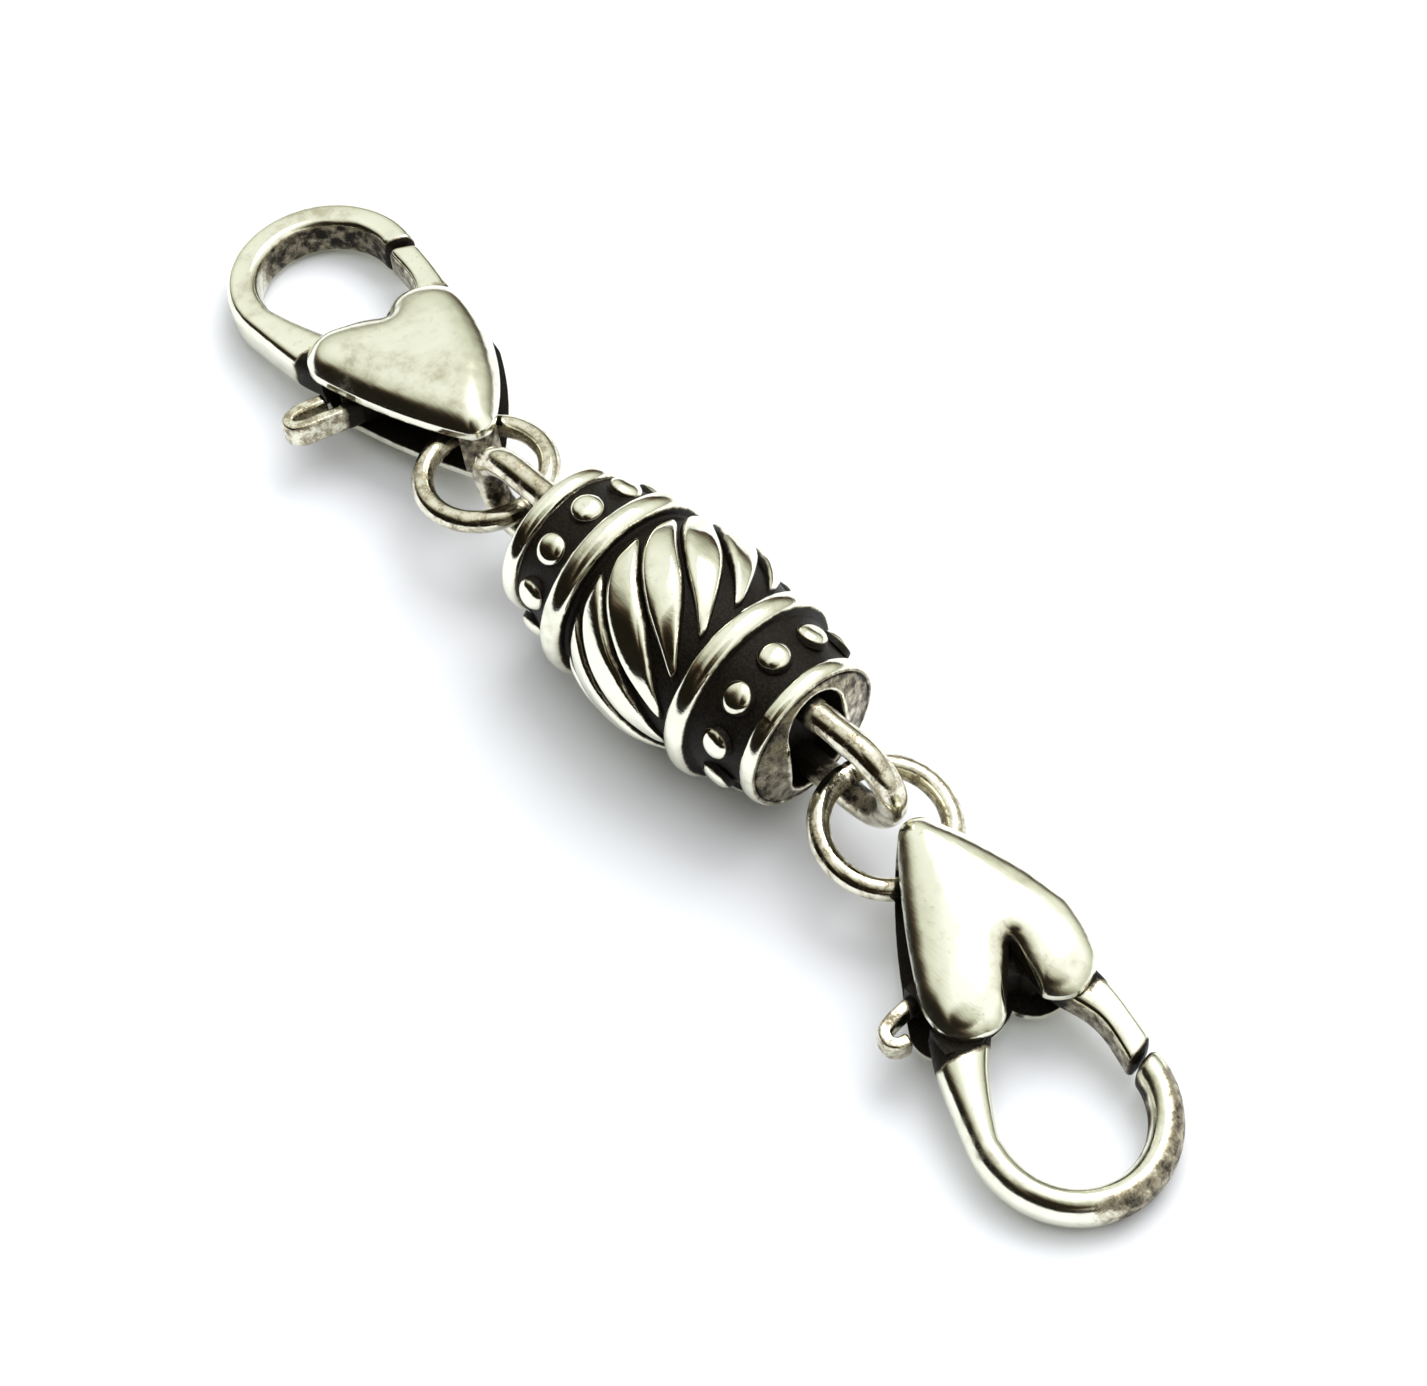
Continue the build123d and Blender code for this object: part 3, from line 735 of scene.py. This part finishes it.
@dataclass
class WirePieces:
    """The eyes that stand in the barrel's ends, and the jump rings that hang in them."""

    wire: float = 1.46
    leg_z: float = 2.20
    reach: float = 14.12
    plug_x: float = 6.69
    plug_thickness: float = 0.60
    plug_width: float = 3.20
    plug_height: float = 6.14
    ring_wire: float = 1.10
    ring_radius: float = 3.06
    ring_centre: dict[Side, Pair] = field(
        default_factory=lambda: {Side.LEFT: (-14.25, 0.50), Side.RIGHT: (13.42, -0.48)}
    )
    near_drop: float = 0.80
    far_drop: dict[Side, float] = field(default_factory=lambda: {Side.LEFT: 1.55, Side.RIGHT: 2.15})
    joint_turn: dict[Side, float] = field(default_factory=lambda: {Side.LEFT: 176, Side.RIGHT: 171})
    joint_edge: Pair = (0.04, 0.14)  # distances from the joint over which it fades
    joint_depth: float = 0.03
    wear: float = 0.012  # share of the wire's radius
    film: float = 0.24  # patina all over the wire
    eye_seed: int = 11
    ring_seed: int = 13

    def eye(self, side: Side) -> Shell:
        """An eye: round wire bent in a U, with its legs soldered to an oval plug.

        The wire's middle line is two straight legs and a half circle, and its section a circle square to that line.

        Args:
            side: which end of the barrel.

        Returns:
            The shell.
        """
        shell = Shell()
        bend_x = self.reach - self.wire / 2 - self.leg_z
        start_x = self.plug_x + self.plug_thickness / 2
        turn = np.radians(np.linspace(90, -90, 49))
        leg = np.linspace(start_x, bend_x, 14)[:-1]
        still, straight = np.zeros(len(leg)), np.ones(len(leg))
        x = np.concatenate([leg, bend_x + self.leg_z * np.cos(turn), leg[::-1]])
        out_x = np.concatenate([still, np.cos(turn), still])
        out_z = np.concatenate([straight, np.sin(turn), -straight])
        z = self.leg_z * out_z
        around = turns(40)
        uneven = ripple(x[:, None] * 2, z[:, None] * 2 + around, 2.0, self.eye_seed)
        radius = self.wire / 2 * (1 - self.wear * (1 + uneven))
        middle, out = np.column_stack([x, 0 * x, z]), np.column_stack([out_x, 0 * x, out_z])
        rings = tube(middle, out, (0, 1, 0), radius, around)
        hidden = 1 - smooth(x, self.plug_x + 1.2, self.plug_x + 2.5)
        # Painted shade on the inner side of the loop, where its hole stays dark.
        inner = 0.62 * smooth(-np.cos(around), 0.1, 0.8)
        shell.skin(rings, np.clip(hidden[:, None] + np.maximum(inner, self.film), 0, 1))
        half, straight = self.plug_width / 2, (self.plug_height - self.plug_width) / 2
        oval = on_circle((0, 0), half, around)
        oval[:, 1] += straight * np.sign(oval[:, 1] + SMALL)
        depth = np.array([0, self.plug_thickness * 0.8, self.plug_thickness])
        size = np.array([1, 1, 0.95])
        plug = np.empty((3, len(around), 3))
        plug[..., 0] = (self.plug_x + depth)[:, None]
        plug[..., 1:] = oval * size[:, None, None]
        shell.skin(plug, 1.0)
        if side is Side.LEFT:
            shell.points = [points * np.array([-1, -1, 1]) for points in shell.points]
        return shell

    def ring(self, side: Side) -> Shell:
        """A jump ring: round wire bent in a circle, a little uneven, with the fine line where its ends meet.

        Args:
            side: which end of the extender.

        Returns:
            The shell.
        """
        shell = Shell()
        slope = np.arcsin((self.far_drop[side] - self.near_drop) / (2 * self.ring_radius))
        flat, fall, sign = np.cos(slope), np.sin(slope), side.sign
        axes = np.array([[sign * flat, 0, -fall], [0, sign, 0], [sign * fall, 0, flat]])
        centre = np.array([*self.ring_centre[side], -(self.far_drop[side] + self.near_drop) / 2])
        about, around = turns(144), turns(32)
        apart = np.abs((about - np.radians(self.joint_turn[side]) + np.pi) % (2 * np.pi) - np.pi) * self.ring_radius
        joint = 1 - smooth(apart, *self.joint_edge)[:, None]
        uneven = ripple(about[:, None] * 3, around, 2.2, self.ring_seed)
        wire = self.ring_wire / 2 * (1 - self.wear * (1 + uneven)) - self.joint_depth * joint
        out = np.column_stack([np.cos(about), np.sin(about), 0 * about])
        local = tube(self.ring_radius * out, out, (0, 0, 1), wire, around)
        # Patina in the joint's line and darker on the inner side, with painted shade on the wire's underside.
        shade = 0.5 * joint + 0.42 * np.maximum(smooth(-np.cos(around), 0.4, 1), smooth(-np.sin(around), 0.1, 0.8))
        shell.skin(Frame(centre, axes).place(local), np.clip(shade, self.film, 1), Ends.JOINED)
        return shell


# ---------------------------------------------------------------- clasps


@dataclass
class Clasp:
    """A heart lobster clasp: two domed cheeks, tail wall, hook, and the lever with its gate arm and thumb tab.

    Plan sizes run from the tail's tip towards the hook (u) and towards the spine (v); z goes through its thickness.
    """

    side: Side
    tail: Pair
    yaw: float
    up: int  # 1 where the lever's front is up, -1 where the clasp lies on it
    tail_drop: float = 1.46
    barrel_radius: float = 5.32
    slot_half: float = 1.10
    heart_half: float = 2.62
    rim_z: float = 1.52
    dome_depth: float = 2.20
    dome_swell: float = 1.6
    brow: float = 0.70
    brow_share: float = 0.20
    plain_reach: float = 1.0  # how much of its last few millimetres the plain heart keeps
    plain_heart: Pair = (6.2, 0.0)  # plan point that the whole rim can be seen from
    notched_heart: Pair = (4.0, -1.4)
    notch_pull: float = 0.22
    length: float = 11.00
    spine_v: float = 4.36
    cleft: Pair = (9.72, -0.27)
    notch: Pair = (7.45, -0.95)
    steep_dark: Pair = (0.35, 0.95)  # depths inside the notch's edge over which its oxide and painted dark reflection fade
    tip_dark: Pair = (0.12, 0.50)  # distances from the notch's or cleft's tip over which its black fades
    wear: float = 0.05
    wear_size: float = 3.2
    seed: int = 17
    hook_half: float = 1.10
    hook_corners: float = 3.6  # exponent of the hook's section
    smudge: float = 0.0  # patina left on the outside of the bow's far half
    hook_nose: float = 0.42  # length over which the hook's end rounds off
    hook_joint: Pair = (0.979, 0.992)  # shares of its length over which its end goes black
    bow: Pair = (15.30, 0.18)
    bow_half: Pair = (5.12, 4.88)
    bow_start: float = 0.8  # how far before its middle the bow becomes an ellipse
    band: float = 1.62
    hook_round: float = 0.55
    root: Triple = (9.25, 0.70, 4.01)  # u, inner and outer v
    shoulder: tuple[Pair, Pair] = ((11.65, 2.22), (11.15, 4.56))  # inner and outer point past the root
    nose: Pair = (14.90, 14.18)  # inner and outer u of the seam
    seam: float = 0.131
    pivot: Pair = (7.90, -1.90)
    hub_radius: float = 1.35
    lever_half: float = 1.00
    gate_bend: tuple[Pair, Pair] = ((12.01, -2.90), (11.29, -4.33))  # inner and outer point
    gate_corners: float = 3.8
    gate_nose: float = 0.40
    gate_joint: Pair = (0.957, 0.978)
    inner_dark: Pair = (0.66, 0.50)  # patina on the inner side of the hook and of the gate
    tail_round: Pair = (-1.15, 0.75)  # centre of the hollow in the tail that the jump ring lies in
    tail_round_radius: float = 2.30
    tab_sheet: float = 0.68
    tab_half: float = 0.65
    tab_corners: float = 4.5
    tab_nose: float = 0.2
    tab_film: float = 0.34
    tab_dark: Pair = (3.9, 4.5)  # v over which the black beside the body fades

    def frame(self) -> Frame:
        """The clasp's axes: it leans down from its tail until the far end of the hook rests on the table.

        Returns:
            The frame.
        """
        end = self.bow[0] + self.bow_half[0] - self.hook_round
        lean = np.arcsin((self.barrel_radius - self.tail_drop - self.hook_half) / end)
        yaw = np.radians(self.yaw)
        along = np.array([np.cos(yaw) * np.cos(lean), np.sin(yaw) * np.cos(lean), -np.sin(lean)])
        normal = self.up * np.array([np.cos(yaw) * np.sin(lean), np.sin(yaw) * np.sin(lean), np.cos(lean)])
        axes = np.stack([along, np.cross(normal, along), normal])
        return Frame(np.array([*self.tail, -self.tail_drop]), axes)

    def outline(self, notched: bool, per_arc: int = 24) -> tuple[Array, Array]:
        """The heart's rim in plan, as circular arcs through named points.

        The cheek above the lever has a shallow cleft. The other has a deep notch and a fuller gate flank.

        Args:
            notched: which cheek.
            per_arc: points to an arc.

        Returns:
            (n, 2) rim points, and the pull of the run after each: less where the dome stands up steeply.
        """
        tail = [(0.495, -0.84), (0, 0), (0.495, 0.88)]
        if notched:
            spine = [(4.1, 2.50), (7.2, 3.58), (8.5, 3.88), (9.6, 3.74), (10.42, 3.0), (10.68, 2.00), (10.66, 1.30)]
            notch = [(10.25, 0.72), (8.90, -0.06), self.notch, (8.8, -1.00), (10.20, -1.14)]
            gate = [(10.65, -1.75), (10.80, -2.55), (10.42, -3.50), (9.6, -4.22), (8.2, -4.50), (6.65, -4.42)]
            points = [*tail, *spine, *notch, *gate, (3.2, -2.78), tail[0]]
            steep = (5, 6)
        else:
            spine = [(4.40, 2.90), (8.525, 4.36), (10.62, 3.44), (10.60, 1.58), (10.24, 0.46), self.cleft]
            gate = [(10.28, -0.74), (10.62, -1.30), (10.07, -3.36), (8.085, -4.12), (4.125, -3.15)]
            points = [*tail, *spine, *gate, tail[0]]
            steep = ()
        arcs = [points[k : k + 3] for k in range(0, len(points) - 2, 2)]
        rim = np.concatenate([arc_through(*arc, per_arc) for arc in arcs])
        if not notched:
            rim[:, 0] -= (1 - self.plain_reach) * np.maximum(rim[:, 0] - self.plain_heart[0], 0)
        pull = np.concatenate([np.full(per_arc, self.notch_pull if k in steep else 1.0) for k in range(len(arcs))])
        return rim, pull

    def cheek(self, sign: int, notched: bool) -> tuple[Array, Array]:
        """One cheek: black inner face, upright rim, and a dome over the plan.

        The rings shrink from the rim to one point. Where a ring's point is d deep inside the outline, the dome's
        height is a mix of 1 - (1 - d / brow)^2 for its rounded edge and 1 - (1 - d / dome_depth)^dome_swell.

        Args:
            sign: 1 for the cheek at z above nought, -1 for the other.
            notched: whether its cleft is cut to a deep notch.

        Returns:
            (rows, columns, 3) rings and their patina.
        """
        rim, pull = self.outline(notched)
        centre = np.array(self.notched_heart if notched else self.plain_heart)
        levels = [(self.slot_half, 0.02, 1.0), (self.slot_half, 0.004, 0.9), (self.slot_half + 0.05, 0, 0.5)]
        levels += [(self.slot_half + 0.14, 0, 0.05), (self.rim_z - 0.10, 0, 0.0), (self.rim_z - 0.03, 0.003, 0.0)]
        heights, insets, shades = np.array(levels).T
        shares = np.linspace(0.010, 0.985, 44) ** 1.25
        foot, upright = len(levels), 3  # first rows of the dome and of the rim
        plan = rim[None] + (centre - rim)[None] * np.append(insets, shares)[:, None, None]
        dome = plan[foot:]
        inside = depth_inside(dome.reshape(-1, 2), rim, pull).reshape(dome.shape[:2])
        swell = 1 - (1 - np.minimum(inside / self.dome_depth, 1)) ** self.dome_swell
        edge = 1 - (1 - np.minimum(inside / self.brow, 1)) ** 2
        height = swell + (edge - swell) * self.brow_share
        worn = self.wear * (0.5 + 0.5 * ripple(dome[..., 0], dome[..., 1], self.wear_size, self.seed + sign))
        z, shade = np.empty(plan.shape[:2]), np.zeros(plan.shape[:2])
        z[:foot], shade[:foot] = heights[:, None], shades[:, None]
        z[foot:] = self.rim_z + (self.heart_half - self.rim_z - worn) * height
        if notched:
            # Dark in the notch: oxide on its walls, and painted dark reflection on the dome's slopes down into it.
            steep = pull < 1
            shade[foot:] = 0.9 * steep * (1 - smooth(inside, *self.steep_dark))
            shade[upright:foot] = np.maximum(shade[upright:foot], 0.95 * steep)
        apart = np.linalg.norm(plan - np.array(self.notch if notched else self.cleft), axis=-1)
        shade = np.maximum(shade, 0.9 * (1 - smooth(apart, *self.tip_dark)))
        return np.concatenate([plan, sign * z[..., None]], -1), shade

    def wall(self, plan: Array, half: float) -> Array:
        """An upright wall: the same closed plan outline at minus and plus half its height, as (2, n, 3) rings."""
        return np.stack([np.column_stack([plan, np.full(len(plan), z)]) for z in (-half, half)])

    def edges(self) -> tuple[Array, Array]:
        """The hook's outer and inner edges in plan, matched point for point, from its root to its nose.

        Returns:
            Two (n, 2) curves: a smooth spine, then ellipses about the bow's centre.
        """
        curves = []
        for outer in (1, 0):  # the outer edge and then the inner, by their places in the pairs above
            half = np.array(self.bow_half) - (1 - outer) * self.band
            first = np.arccos(-self.bow_start / half[0])
            last = -np.arccos((self.nose[outer] - self.bow[0]) / half[0])
            ring = on_circle(self.bow, half, np.linspace(first, last, 15))
            curves.append(through(np.vstack([(self.root[0], self.root[1 + outer]), self.shoulder[outer], ring]), 190))
        return curves[0], curves[1]

    def bar(
        self, outer: Array, inner: Array, half: float, corners: float, nose: float = 0, columns: int = 52
    ) -> Array:
        """A bar with a rounded section between two matched plan curves: a superellipse across each pair of points.

        Args:
            outer: (n, 2) outer edge.
            inner: (n, 2) inner edge.
            half: half its thickness.
            corners: the superellipse's exponent.
            nose: length over which the far end rounds off, as a quarter of an ellipse.
            columns: points round the section.

        Returns:
            (n, columns, 3) rings.
        """
        shape = section(corners, columns)
        middle, across = (outer + inner) / 2, (outer - inner) / 2
        size = np.ones(len(outer))
        if nose:
            left = np.cumsum(np.linalg.norm(np.diff(middle, axis=0), axis=1)[::-1])[::-1]
            left = np.append(left, 0)
            size = np.sqrt(1 - (1 - np.minimum(left / nose, 1)) ** 2) * 0.75 + 0.25
        plan = middle[:, None] + (across * size[:, None])[:, None] * shape[None, :, :1]
        height = half * size[:, None] ** 0.6 * shape[None, :, 1]
        return np.concatenate([plan, height[..., None]], -1)

    def body(self) -> Shell:
        """The cast body of the clasp.

        Returns:
            The shell.
        """
        shell, frame = Shell(), self.frame()
        for sign, notched in ((1, False), (-1, True)):
            rings, shade = self.cheek(sign, notched)
            shell.skin(frame.place(rings), shade)
        rim, _ = self.outline(False)
        kept = rim[np.linalg.norm(rim - self.tail_round, axis=1) < self.tail_round_radius]
        kept = kept[np.argsort(np.arctan2(kept[:, 1], 1.0 - kept[:, 0]))]
        start, end = (np.arctan2(*(kept[k] - self.tail_round)[::-1]) for k in (-1, 0))
        arc = on_circle(self.tail_round, self.tail_round_radius, np.linspace(start, end, 14)[1:-1])
        shell.skin(frame.place(self.wall(np.vstack([kept, arc]), self.slot_half)), 0.55)
        u, inner_v, outer_v = self.root
        block = [(u, inner_v + 0.1), (u, outer_v - 0.05), (u + 1.35, outer_v - 0.1), (u + 1.6, inner_v + 1.55)]
        block = np.array([*block, (u + 0.9, inner_v + 0.6)])
        shell.skin(frame.place(self.wall(block, self.slot_half)), 0.85)
        outer, inner = self.edges()
        bar = self.bar(outer, inner, self.hook_half, self.hook_corners, self.hook_nose)
        shade = 0.9 * (1 - smooth(bar[..., 0], self.length - 0.20, self.length + 0.12))
        end = np.linspace(0, 1, len(outer))[:, None]
        shade = np.maximum(shade, 0.95 * smooth(end + 0 * bar[..., 0], *self.hook_joint))
        outside = section(self.hook_corners, bar.shape[1])[None, :, 0]
        shade = np.maximum(shade, self.inner_dark[0] * smooth(-outside, 0.80, 0.95) * smooth(end, 0.30, 0.50))
        smudge = smooth(end, 0.42, 0.56) * (1 - smooth(end, 0.92, 0.98)) * smooth(outside, -0.3, 0.5)
        shade = np.maximum(shade, self.smudge * smudge)
        shell.skin(frame.place(bar), shade)
        return shell

    def tab_path(self) -> Array:
        """Middle line of the thumb tab's curled sheet in plan, as each clasp has been bent."""
        if self.side is Side.LEFT:
            points = [(6.75, 3.3), (6.86, 4.2), (7.04, 5.2), (7.20, 6.05), (7.48, 6.55), (7.90, 6.62), (8.24, 6.25)]
            points += [(8.28, 5.6), (8.18, 5.0), (8.08, 4.4)]
        else:
            points = [(7.35, 3.3), (7.55, 4.2), (7.85, 5.1), (8.20, 5.62), (8.72, 5.66), (9.00, 5.30), (8.98, 4.75)]
        return through(np.array(points), 60)

    def lever(self) -> Shell:
        """The lever: gate arm, hub on the pin, web across the slot and curled thumb tab.

        Returns:
            The shell.
        """
        shell, frame = Shell(), self.frame()
        hub = on_circle(self.pivot, self.hub_radius, turns(48))
        shell.skin(frame.place(self.wall(hub, self.lever_half)), 0.85)
        outer, inner = self.edges()
        end_outer, end_inner = outer[-1] + (-self.seam, 0.03), inner[-1] + (-self.seam, -0.02)
        pivot_u, pivot_v = self.pivot
        bend_inner, bend_outer = self.gate_bend
        low = [(pivot_u - 0.6, pivot_v - 1.15), (pivot_u + 1.6, pivot_v - 2.05), bend_outer, end_outer]
        high = [(pivot_u + 0.3, pivot_v + 0.9), (pivot_u + 1.9, pivot_v + 0.16), bend_inner, end_inner]
        bar = self.bar(through(low, 70), through(high, 70), self.lever_half, self.gate_corners, self.gate_nose)
        shade = 0.9 * (1 - smooth(bar[..., 0], self.length - 0.9, self.length + 0.2))
        end = np.linspace(0, 1, len(bar))[:, None]
        shade = np.maximum(shade, 0.95 * smooth(end + 0 * bar[..., 0], *self.gate_joint))
        inside = section(self.gate_corners, bar.shape[1])[None, :, 0]
        shade = np.maximum(shade, self.inner_dark[1] * smooth(-inside, 0.80, 0.97))
        shell.skin(frame.place(bar), shade)
        web = [(pivot_u - 1.28, pivot_v), (pivot_u + 0.95, pivot_v), (8.07, self.spine_v * 0.62)]
        web += [(7.75, self.spine_v * 0.86), (6.97, self.spine_v * 0.92), (6.57, self.spine_v * 0.50)]
        shell.skin(frame.place(self.wall(np.array(web), self.lever_half)), 0.9)
        path = self.tab_path()
        along = np.gradient(path, axis=0)
        along /= np.linalg.norm(along, axis=1)[:, None]
        across = np.column_stack([-along[:, 1], along[:, 0]]) * self.tab_sheet / 2
        sheet = self.bar(path + across, path - across, self.tab_half, self.tab_corners, self.tab_nose)
        first_half = (np.arange(len(path)) < len(path) / 2)[:, None]
        shade = 0.9 * (1 - smooth(sheet[..., 1], *self.tab_dark)) * first_half
        shell.skin(frame.place(sheet), np.maximum(shade, self.tab_film))
        return shell


# ---------------------------------------------------------------- table, light and camera


@dataclass(frozen=True)
class Softbox:
    """A square soft light that faces the object."""

    name: str
    towards: Triple  # direction from the object to the light
    far: float  # metres
    side: float  # width and height, in metres
    watts: float
    tint: Triple = (1, 1, 1)
    mirrored: bool = True  # whether polished metal shows it

    def make(self) -> None:
        """Puts the light in the scene."""
        data = bpy.data.lights.new(self.name, "AREA")
        data.shape, data.size, data.energy, data.color = "SQUARE", self.side, self.watts, self.tint
        light = stand(self.name, data)
        light.visible_glossy = self.mirrored
        direction = Vector(self.towards).normalized()
        light.location = direction * self.far
        light.rotation_mode = "QUATERNION"
        light.rotation_quaternion = direction.to_track_quat("Z", "Y")


@dataclass(frozen=True)
class Room:
    """The light of the room: near black low down, then brown, cream and white, by the direction looked in.

    The height is the lesser of two leaning dot products. A pale wall far to the left adds to it, and the room is
    darker in a round patch behind the camera.
    """

    leans: tuple[Triple, Triple] = ((0.35, 0.22, 1.0), (0.35, 0.60, 1.0))
    left_wall: Triple = (-1.12, 0, 0)
    left_start: float = 0.50  # taken from the wall's share, which is held between 0 and 1
    patch: Pair = (0.84, 0.96)  # cosine of the angle from the camera's back, at the patch's edge and inside
    patch_drop: float = 0.46
    stops: tuple[tuple[float, Colour], ...] = (
        (0.0, (0.010, 0.008, 0.005, 1)),
        (0.14, (0.020, 0.014, 0.009, 1)),
        (0.25, (0.105, 0.072, 0.046, 1)),
        (0.36, (0.32, 0.32, 0.26, 1)),
        (0.50, (0.62, 0.63, 0.54, 1)),
        (0.74, (0.84, 0.85, 0.80, 1)),
        (0.88, (1.0, 1.0, 0.99, 1)),
    )
    backdrop: Colour = (1, 1, 1, 1)  # what the camera sees past the table
    strength: float = 1.12

    def make(self, back: Triple) -> None:
        """Makes the room the scene's world.

        Args:
            back: direction from the object to the camera.
        """
        world = bpy.data.worlds.new("studio")
        bpy.context.scene.world = world
        g = Graph(world)
        looked = g.add("TexCoord").outputs["Generated"]
        height = g.sum(*(g.dot(looked, lean) for lean in self.leans), "MINIMUM")
        height = g.sum(g.sum(g.dot(looked, self.left_wall), self.left_start, "SUBTRACT", clamp=True), height)
        height = g.sum(height, g.ramp(g.dot(looked, back), self.patch, (0, self.patch_drop)), "SUBTRACT")
        ramp = g.add("ValToRGB", {0: height})
        ramp.color_ramp.interpolation = "EASE"
        while len(ramp.color_ramp.elements) < len(self.stops):
            ramp.color_ramp.elements.new(1)
        for element, (place, colour) in zip(ramp.color_ramp.elements, self.stops):
            element.position, element.color = place, colour
        seen = g.blend(g.add("LightPath").outputs["Is Camera Ray"], ramp.outputs["Color"], self.backdrop)
        shade = g.add("Background", {"Color": seen, "Strength": self.strength})
        g.add("OutputWorld", {"Surface": shade.outputs[0]})
        bpy.context.scene.view_settings.view_transform = "Standard"


@dataclass
class Studio:
    """A plain white table under a key light and a wide fill, and the camera at the photograph's angle.

    The camera's place is in millimetres and its directions are unit vectors.
    """

    position: Triple = (105.25, -83.47, 186.77)  # from the barrel's middle
    right: Triple = (0.6934, 0.7178, -0.0629)
    down: Triple = (0.56522, -0.59598, -0.57038)
    forward: Triple = (-0.44691, 0.35994, -0.81897)
    lens: float = 126.65
    sensor: float = 36.0
    clip: Pair = (0.01, 20)  # metres
    table_half: float = 0.9  # metres
    softboxes: tuple[Softbox, Softbox] = (
        Softbox("key_light", (-0.10, 0.50, 0.86), far=0.60, side=0.38, watts=1.6),
        Softbox("fill_light", (0.0, 0.12, 1.0), far=0.90, side=1.40, watts=6.3, tint=(0.90, 0.93, 1), mirrored=False),
    )

    def camera(self, origin: Array) -> bpy.types.Object:
        """The camera, its axes turned by the photograph's right, down and forward directions.

        Args:
            origin: the barrel's middle in the frame, in millimetres.

        Returns:
            The camera.
        """
        data = bpy.data.cameras.new("camera")
        data.lens, data.sensor_width, data.sensor_fit = self.lens, self.sensor, "HORIZONTAL"
        data.clip_start, data.clip_end = self.clip
        camera = stand("camera", data)
        axes = np.column_stack([self.right, -np.array(self.down), -np.array(self.forward)])
        place = Matrix(axes.tolist()).to_4x4()
        place.translation = Vector(((np.array(self.position) + origin) * MM).tolist())
        camera.matrix_world = place
        bpy.context.scene.camera = camera
        return camera

    def floor(self, finish: bpy.types.Material) -> bpy.types.Object:
        """The table top: a flat square at the height of nought.

        Args:
            finish: its material.

        Returns:
            The object.
        """
        mesh = bpy.data.meshes.new("floor")
        half = self.table_half
        corners = [(-half, -half, 0), (half, -half, 0), (half, half, 0), (-half, half, 0)]
        mesh.from_pydata(corners, [], [(0, 1, 2, 3)])
        mesh.materials.append(finish)
        floor = stand("floor", mesh)
        return floor

    def lights(self) -> None:
        """Lights the scene: the softboxes, and the room with its dark patch behind the camera."""
        for softbox in self.softboxes:
            softbox.make()
        Room().make(tuple(-part for part in self.forward))


# ---------------------------------------------------------------- the whole


def dress(piece: bpy.types.Object, finish: bpy.types.Material, body: str, node: str) -> None:
    """Gives a piece its material and ties it to the CAD node it stands for.

    Args:
        piece: the object.
        finish: its material.
        body: the CAD body it moves with.
        node: the CAD node it replaces.
    """
    piece.data.materials.append(finish)
    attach(piece, body)
    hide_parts(node)
    log.info("%s: %d faces", piece.name, len(piece.data.polygons))


def main() -> None:
    """Builds the pieces in order, the studio and the camera."""
    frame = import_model()
    left_low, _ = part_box("eye_left")
    right_low, right_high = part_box("eye_right")
    low = np.array([left_low.x, right_low.y, right_low.z])
    origin = (low + np.array(right_high)) / 2 / MM

    barrel_silver = AntiqueSilver("barrel_silver").make()
    wire_silver = AntiqueSilver("wire_silver", metal=(0.85, 0.83, 0.69, 1), dent=0.035).make()
    clasp_silver = AntiqueSilver("clasp_silver", polish=0.15, haze=0.34, tarnish=0.62, dent=0.055).make()
    lever_silver = AntiqueSilver("lever_silver", polish=0.12).make()
    pin_steel = AntiqueSilver("pin_steel", metal=(0.55, 0.55, 0.55, 1), polish=0.3, haze=0.4).make()

    dress(Barrel().skins().make("fluted_barrel", origin), barrel_silver, "root", "barrel")
    wires = WirePieces()
    for side in Side:
        eye = wires.eye(side).make(f"eye_loop_{side.value}", origin)
        dress(eye, wire_silver, "root", f"eye_{side.value}")
        ring = wires.ring(side).make(f"wire_ring_{side.value}", origin)
        dress(ring, wire_silver, "root", f"jump_ring_{side.value}")
    clasps = (
        Clasp(Side.LEFT, tail=(-15.15, 1.58), yaw=170.0, up=1, dome_swell=2.3),
        Clasp(
            Side.RIGHT,
            tail=(14.43, -0.06),
            yaw=-17.0,
            up=-1,
            dome_depth=3.0,
            dome_swell=2.2,
            plain_reach=0.88,
            hook_corners=2.1,
            smudge=0.52,
        ),
    )
    for clasp in clasps:
        side = clasp.side.value
        body = clasp.body().make(f"heart_clasp_{side}", origin)
        dress(body, clasp_silver, "root", f"clasp_body_{side}")
        lever = clasp.lever().make(f"gate_lever_{side}", origin)
        dress(lever, lever_silver, f"lever_{side}", f"clasp_lever_{side}")
        pin = frame["nodes"][f"clasp_pin_{side}"]
        pin.data.materials.clear()
        pin.data.materials.append(pin_steel)

    studio = Studio()
    studio.floor(PaleFloor().make())
    studio.lights()
    studio.camera(origin)
    bpy.context.view_layer.update()


if __name__ == "__main__":
    logging.basicConfig(level=logging.INFO)
    main()
